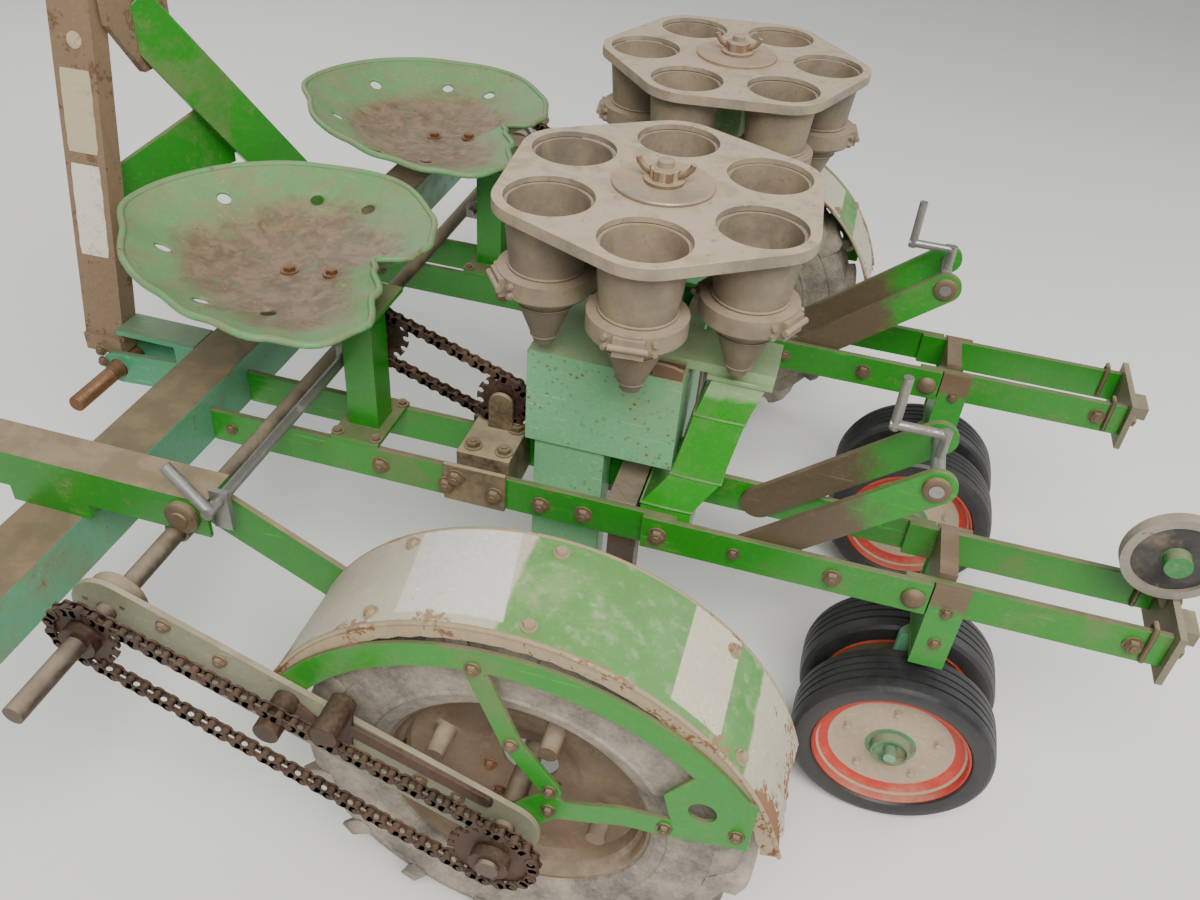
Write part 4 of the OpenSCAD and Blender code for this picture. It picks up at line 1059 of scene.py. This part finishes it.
def frameFastened():
    bolts = []
    for way in (1, -1):
        out = (0, way, 0)
        for x, z in ((-659, 604), (-706, 484), (-757, 414), (-757, 374), (-901, 406), (-985, 430)):
            bolts.append((here(x, way * 776, z), out))
        for x, z in ((-262, 538), (-332, 500), (-590, 372), (-640, 356)):
            bolts.append((here(x, way * 784, z), out))
        for x in (-40, 40):
            bolts.append((here(x, way * 585, 555), (0, 0, 1)))
        for z in (480, 458):
            bolts.append((here(232, way * 235, z), out))
        for angle in (30, 150, 270):
            turn = math.radians(angle)
            bolts.append((here(-183 + 30 * math.cos(turn), way * 776, 536 + 30 * math.sin(turn)), out))
    return bolts


def makeFasteners():
    large, small, domed = rowFastened()
    bolted("railBolts", large, railBolt, "boltBrown", "frame", "row_rails")
    bolted("smallBolts", small, smallBolt, "boltBrown", "frame", "row_rails")
    bolted("armBolts", frameFastened(), smallBolt, "boltBrown", "frame", "outer_arms")
    work = bmesh.new()
    dome = [(0.0, 0.0001), (0.0, 0.0175), (0.003, 0.0175), (0.007, 0.014), (0.0095, 0.008),
            (0.0105, 0.0001)]
    for point, face in domed:
        turned(work, facingSide(dome, face[1]), point, 24)
    # collars on the depth arms' pins and the wheel arms' pivots
    ring = [(0.0, 0.0102), (0.0, 0.019), (0.0055, 0.019), (0.0065, 0.0175), (0.0065, 0.0102)]
    for row in rows:
        for way in (1, -1):
            turned(work, facingSide(ring, way), here(-1144, row + way * 61, 660), 28)
    head = [(0.0, 0.0001), (0.0, 0.0235), (0.0085, 0.0235), (0.0105, 0.021), (0.011, 0.012),
            (0.0135, 0.011), (0.0145, 0.0001)]
    for way in (1, -1):
        turned(work, facingSide(head, way), here(-211, way * 645, 585), 32)
    settle(freshPiece("pinHeads", work, ["boltBrown"], 40), "frame", "depth_arms")


makeFasteners()
print("fasteners made")

# Blank plates and a tag on the mast's leg, in places along it, across it and out of it

leg = {"foot": here(232, 205, 470), "run": Vector((0.012, -0.139, 0.660)), "face": 0.0191,
       "tagRadius": 0.013,
       "plates": (("upperPlate", 0.330, 0.455, 0.027, "agedPlate"),
                  ("lowerPlate", 0.165, 0.312, 0.0265, "blankPlate"))}


def onLeg(height, across, out):
    ahead = leg["run"].normalized()
    rise, lean = -math.asin(ahead.y), math.atan2(ahead.x, ahead.z)
    sideways = Vector((math.cos(lean), 0, -math.sin(lean)))
    outward = Vector((math.sin(lean) * math.sin(rise), math.cos(rise), math.cos(lean) * math.sin(rise)))
    place = leg["foot"] + ahead * (height / leg["run"].z * leg["run"].length)
    return place + sideways * across + outward * out


def makeLegPlates():
    cells = 10
    for name, low, high, half, paint in leg["plates"]:
        work = bmesh.new()
        sections = []
        for k in range(cells + 1):
            height = low + (high - low) * k / cells
            wave = 0.0006 * math.sin(k * 2.1)
            edge = half - (0.002 if k in (0, cells) else 0) + wave
            sections.append([onLeg(height, across, leg["face"] + lift) for across, lift in
                             ((-edge, 0), (edge, 0), (edge, 0.001), (-edge, 0.001))])
        loft(work, sections)
        settle(freshPiece(name, work, [paint]), "frame", "mast")
    work = bmesh.new()
    centre = onLeg(0.497, -0.006, leg["face"])
    outward = (onLeg(0, 0, 1) - onLeg(0, 0, 0)).normalized()
    up = Vector((0, 0, 1)).cross(outward).normalized()
    over = outward.cross(up)
    loft(work, [[centre + (up * math.cos(a) + over * math.sin(a)) * leg["tagRadius"] + outward * lift
                 for a in around(20)] for lift in (0.0, 0.0012)])
    settle(freshPiece("legTag", work, ["agedPlate"]), "frame", "mast")


makeLegPlates()

# Carousels: softened castings, steel covers, nuts with wings, screws on the clip rings

carousel = {"x": -0.711 + shiftX, "off": -0.070, "top": 0.952, "cups": 6, "ring": 0.157,
            "turn": {"left": -25, "right": 9}, "screw": (0.008, 0.003, 0.0055, 0.001),
            "wing": ((0.018, 0.016), (0.028, 0.020), (0.035, 0.028), (0.037, 0.034)),
            "bands": ((0.013, 0.0584, 0.0022), (0.096, 0.0505, 0.0022), (0.150, 0.0404, 0.0013),
                      (0.205, 0.0185, 0.0012))}


def cupPlaces(centre, word):
    # each cup's middle, and the way out to it from the hub
    places = []
    for k in range(carousel["cups"]):
        angle = math.radians(carousel["turn"][word] + 360 / carousel["cups"] * k)
        ahead = Vector((math.cos(angle), math.sin(angle), 0))
        places.append((centre + ahead * carousel["ring"], ahead))
    return places


def makeCarousels():
    for word, row in rowPlaces.items():
        body = "seedling_drum_" + word
        centre = Vector((carousel["x"], row + carousel["off"], carousel["top"]))
        settle(softened("carousel_" + word, 0.0022, "drumCast", "carouselPlate_" + word), body, "carousel",
               "carousel_" + word)
        work = bmesh.new()
        cover = [(0.0003, 0.0270), (0.0003, 0.0688), (0.0040, 0.0690), (0.0056, 0.0676), (0.0058, 0.064),
                 (0.0052, 0.0615), (0.0054, 0.040), (0.0054, 0.0270)]
        turned(work, cover, centre, 56, "Z")
        settle(freshPiece("drumCover_" + word, work, ["coverSteel"]), body, "carousel")
        work = bmesh.new()
        washer = [(0.0052, 0.0100), (0.0052, 0.0275), (0.0098, 0.0275), (0.0105, 0.0262), (0.0105, 0.0100)]
        turned(work, washer, centre, 32, "Z")
        nut = [(0.0102, 0.0108), (0.0102, 0.0214), (0.0235, 0.0214), (0.0255, 0.0190), (0.0255, 0.0108)]
        turned(work, nut, centre, 6, "Z")
        stud = [(0.020, 0.0001), (0.020, 0.0112)]
        for k in range(5):
            stud += [(0.0256 + k * 0.002, 0.0112), (0.0266 + k * 0.002, 0.0104)]
        turned(work, stud + [(0.0352, 0.0095), (0.0352, 0.0001)], centre, 20, "Z")
        for way in (-1, 1):
            tubeAlong(work, [centre + Vector((way * x, 0, z)) for x, z in carousel["wing"]], 0.0045, 8)
        settle(freshPiece("drumNut_" + word, work, ["nutRust"]), body, "carousel")
        spots = []
        hinge = math.radians(28)
        for cup, ahead in cupPlaces(centre, word):
            for way in (-1, 1):
                side = Vector((-ahead.y, ahead.x, 0)) * way
                out = (ahead * math.cos(hinge) + side * math.sin(hinge)).normalized()
                for drop in (0.108, 0.122):
                    spots.append((cup + out * 0.0655 + Vector((0, 0, -drop)), tuple(out)))
        bolted("ringScrews_" + word, spots, carousel["screw"], "cupPlastic", body, "cups")
        # a raised line moulded round each cup under its mouth and above its tip
        work = bmesh.new()
        for cup, ahead in cupPlaces(centre, word):
            for drop, radius, thick in carousel["bands"]:
                ring = [cup + Vector((math.cos(a) * radius, math.sin(a) * radius, -drop))
                        for a in around(36)]
                tubeAlong(work, ring, thick, 6, True)
        settle(freshPiece("cupBands_" + word, work, ["cupPlastic"], 80), body, "cups")


makeCarousels()
print("carousels dressed")

# Smaller things: U-bolts, slot brackets, arm seams

def uBolt(work, x, y0, y1, low, high, radius):
    # legs on both sides of a rail seen from behind, joined over its top edge
    path = [here(x, y1, low), here(x, y1, high - 8), here(x, y1 - (y1 - y0) * 0.15, high),
            here(x, y0 + (y1 - y0) * 0.15, high), here(x, y0, high - 8), here(x, y0, low)]
    tubeAlong(work, path, radius, 8)


def makeTrim():
    bolts = bmesh.new()
    for row in rows:
        for way in (1, -1):
            uBolt(bolts, -1478, row + way * 47, row + way * 65, 446, 508, 0.004)
    settle(freshPiece("railUBolts", bolts, ["boltBrown"]), "frame", "rear_rails")
    brackets = bmesh.new()
    for row in rows:
        loft(brackets, [[here(x, row + 5, 707), here(x, row + 11, 707), here(x, row + 11, 722 + lift),
                         here(x, row + 8, 724 + lift), here(x, row + 5, 722 + lift)]
                        for x, lift in ((-782, 0), (-770, 4), (-752, 6), (-738, 5))])
        loft(brackets, [[here(x, row - 20, 707), here(x, row - 26, 707), here(x, row - 26, 716),
                         here(x, row - 20, 716)] for x in (-780, -736)])
    settle(rounded(freshPiece("slotBrackets", brackets, ["boltBrown"]), 0.0008), "frame", "chute_boxes")
    seams = bmesh.new()
    stations = ((-244, 0, 505, 76, 92), (-278, -24, 550, 74, 90), (-295, -56, 640, 74, 88))
    for row in rows:
        for x, y, z, long, wide in stations:
            corners = [(-1, -1), (1, -1), (1, 1), (-1, 1)]
            path = []
            for (ax, ay), (bx, by) in zip(corners, corners[1:] + corners[:1]):
                for share in (0, 0.5):
                    cx, cy = ax + (bx - ax) * share, ay + (by - ay) * share
                    path.append(here(x - 545 + cx * (long / 2 + 0.3), row + y + cy * (wide / 2 + 0.3), z))
            tubeAlong(seams, path, 0.0024, 6, True)
    settle(freshPiece("armWelds", seams, ["weldGreen"], 80), "frame", "carousel_arms")


makeTrim()
print("trim made")

# Floor, light and camera

studio = {"floorTone": (236, 234, 228), "floorSize": 14.0, "keyPower": 225, "fillPower": 62,
          "skyStrength": 0.42}


def makeFloor():
    bpy.ops.mesh.primitive_grid_add(x_subdivisions=4, y_subdivisions=4, size=studio["floorSize"])
    floor = bpy.context.object
    floor.name = "studioFloor"
    shop = PaintShop("floorPaint")
    tone = linear(*studio["floorTone"])
    grain = shop.clouds(2.0, 3)
    floor.data.materials.append(shop.finish(
        Base_Color=shop.blend(grain * 0.3, tone, darker(tone, 0.95)), Roughness=0.75))


def softLamp(name, place, aim, size, power, warmth):
    data = bpy.data.lights.new(name, "AREA")
    data.shape = "RECTANGLE"
    data.size, data.size_y = size
    data.energy = power
    data.color = warmth
    lamp = added(name, data)
    lamp.location = place
    lamp.rotation_euler = (Vector(aim) - Vector(place)).to_track_quat("-Z", "Y").to_euler()


def makeStudio():
    makeFloor()
    softLamp("keyLamp", (-0.9, 2.6, 3.6), (0, 0.2, 0.4), (2.6, 1.8), studio["keyPower"], (1, 0.985, 0.96))
    softLamp("fillLamp", (-3.4, -1.2, 2.4), (0, 0, 0.4), (2.4, 2.4), studio["fillPower"], (0.96, 0.98, 1))
    softLamp("backLamp", (3.0, -2.4, 2.8), (0, 0, 0.5), (2.2, 2.2), studio["fillPower"], (1, 1, 1))
    world = bpy.data.worlds.new("studioSky")
    world.use_nodes = True
    sky = world.node_tree.nodes["Background"]
    sky.inputs["Color"].default_value = (0.93, 0.95, 1.0, 1)
    sky.inputs["Strength"].default_value = studio["skyStrength"]
    bpy.context.scene.world = world


view = {"eye": (-0.3097, 1.4924, 1.5376), "yaw": -77.36, "down": 38.56, "roll": 4.9, "focal": 31.626}


def makeCamera():
    yaw, down, roll = (math.radians(view[key]) for key in ("yaw", "down", "roll"))
    ahead = Vector((math.cos(yaw) * math.cos(down), math.sin(yaw) * math.cos(down), -math.sin(down)))
    right = Vector((math.sin(yaw), -math.cos(yaw), 0))
    up = right.cross(ahead)
    right, up = right * math.cos(roll) + up * math.sin(roll), up * math.cos(roll) - right * math.sin(roll)
    data = bpy.data.cameras.new("photoCamera")
    data.sensor_width = 36
    data.lens = view["focal"]
    camera = added("photoCamera", data)
    aim = Matrix((right, up, -ahead)).transposed().to_4x4()
    camera.matrix_world = Matrix.Translation(view["eye"]) @ aim
    bpy.context.scene.camera = camera


makeStudio()
makeCamera()
print("studio and camera ready")
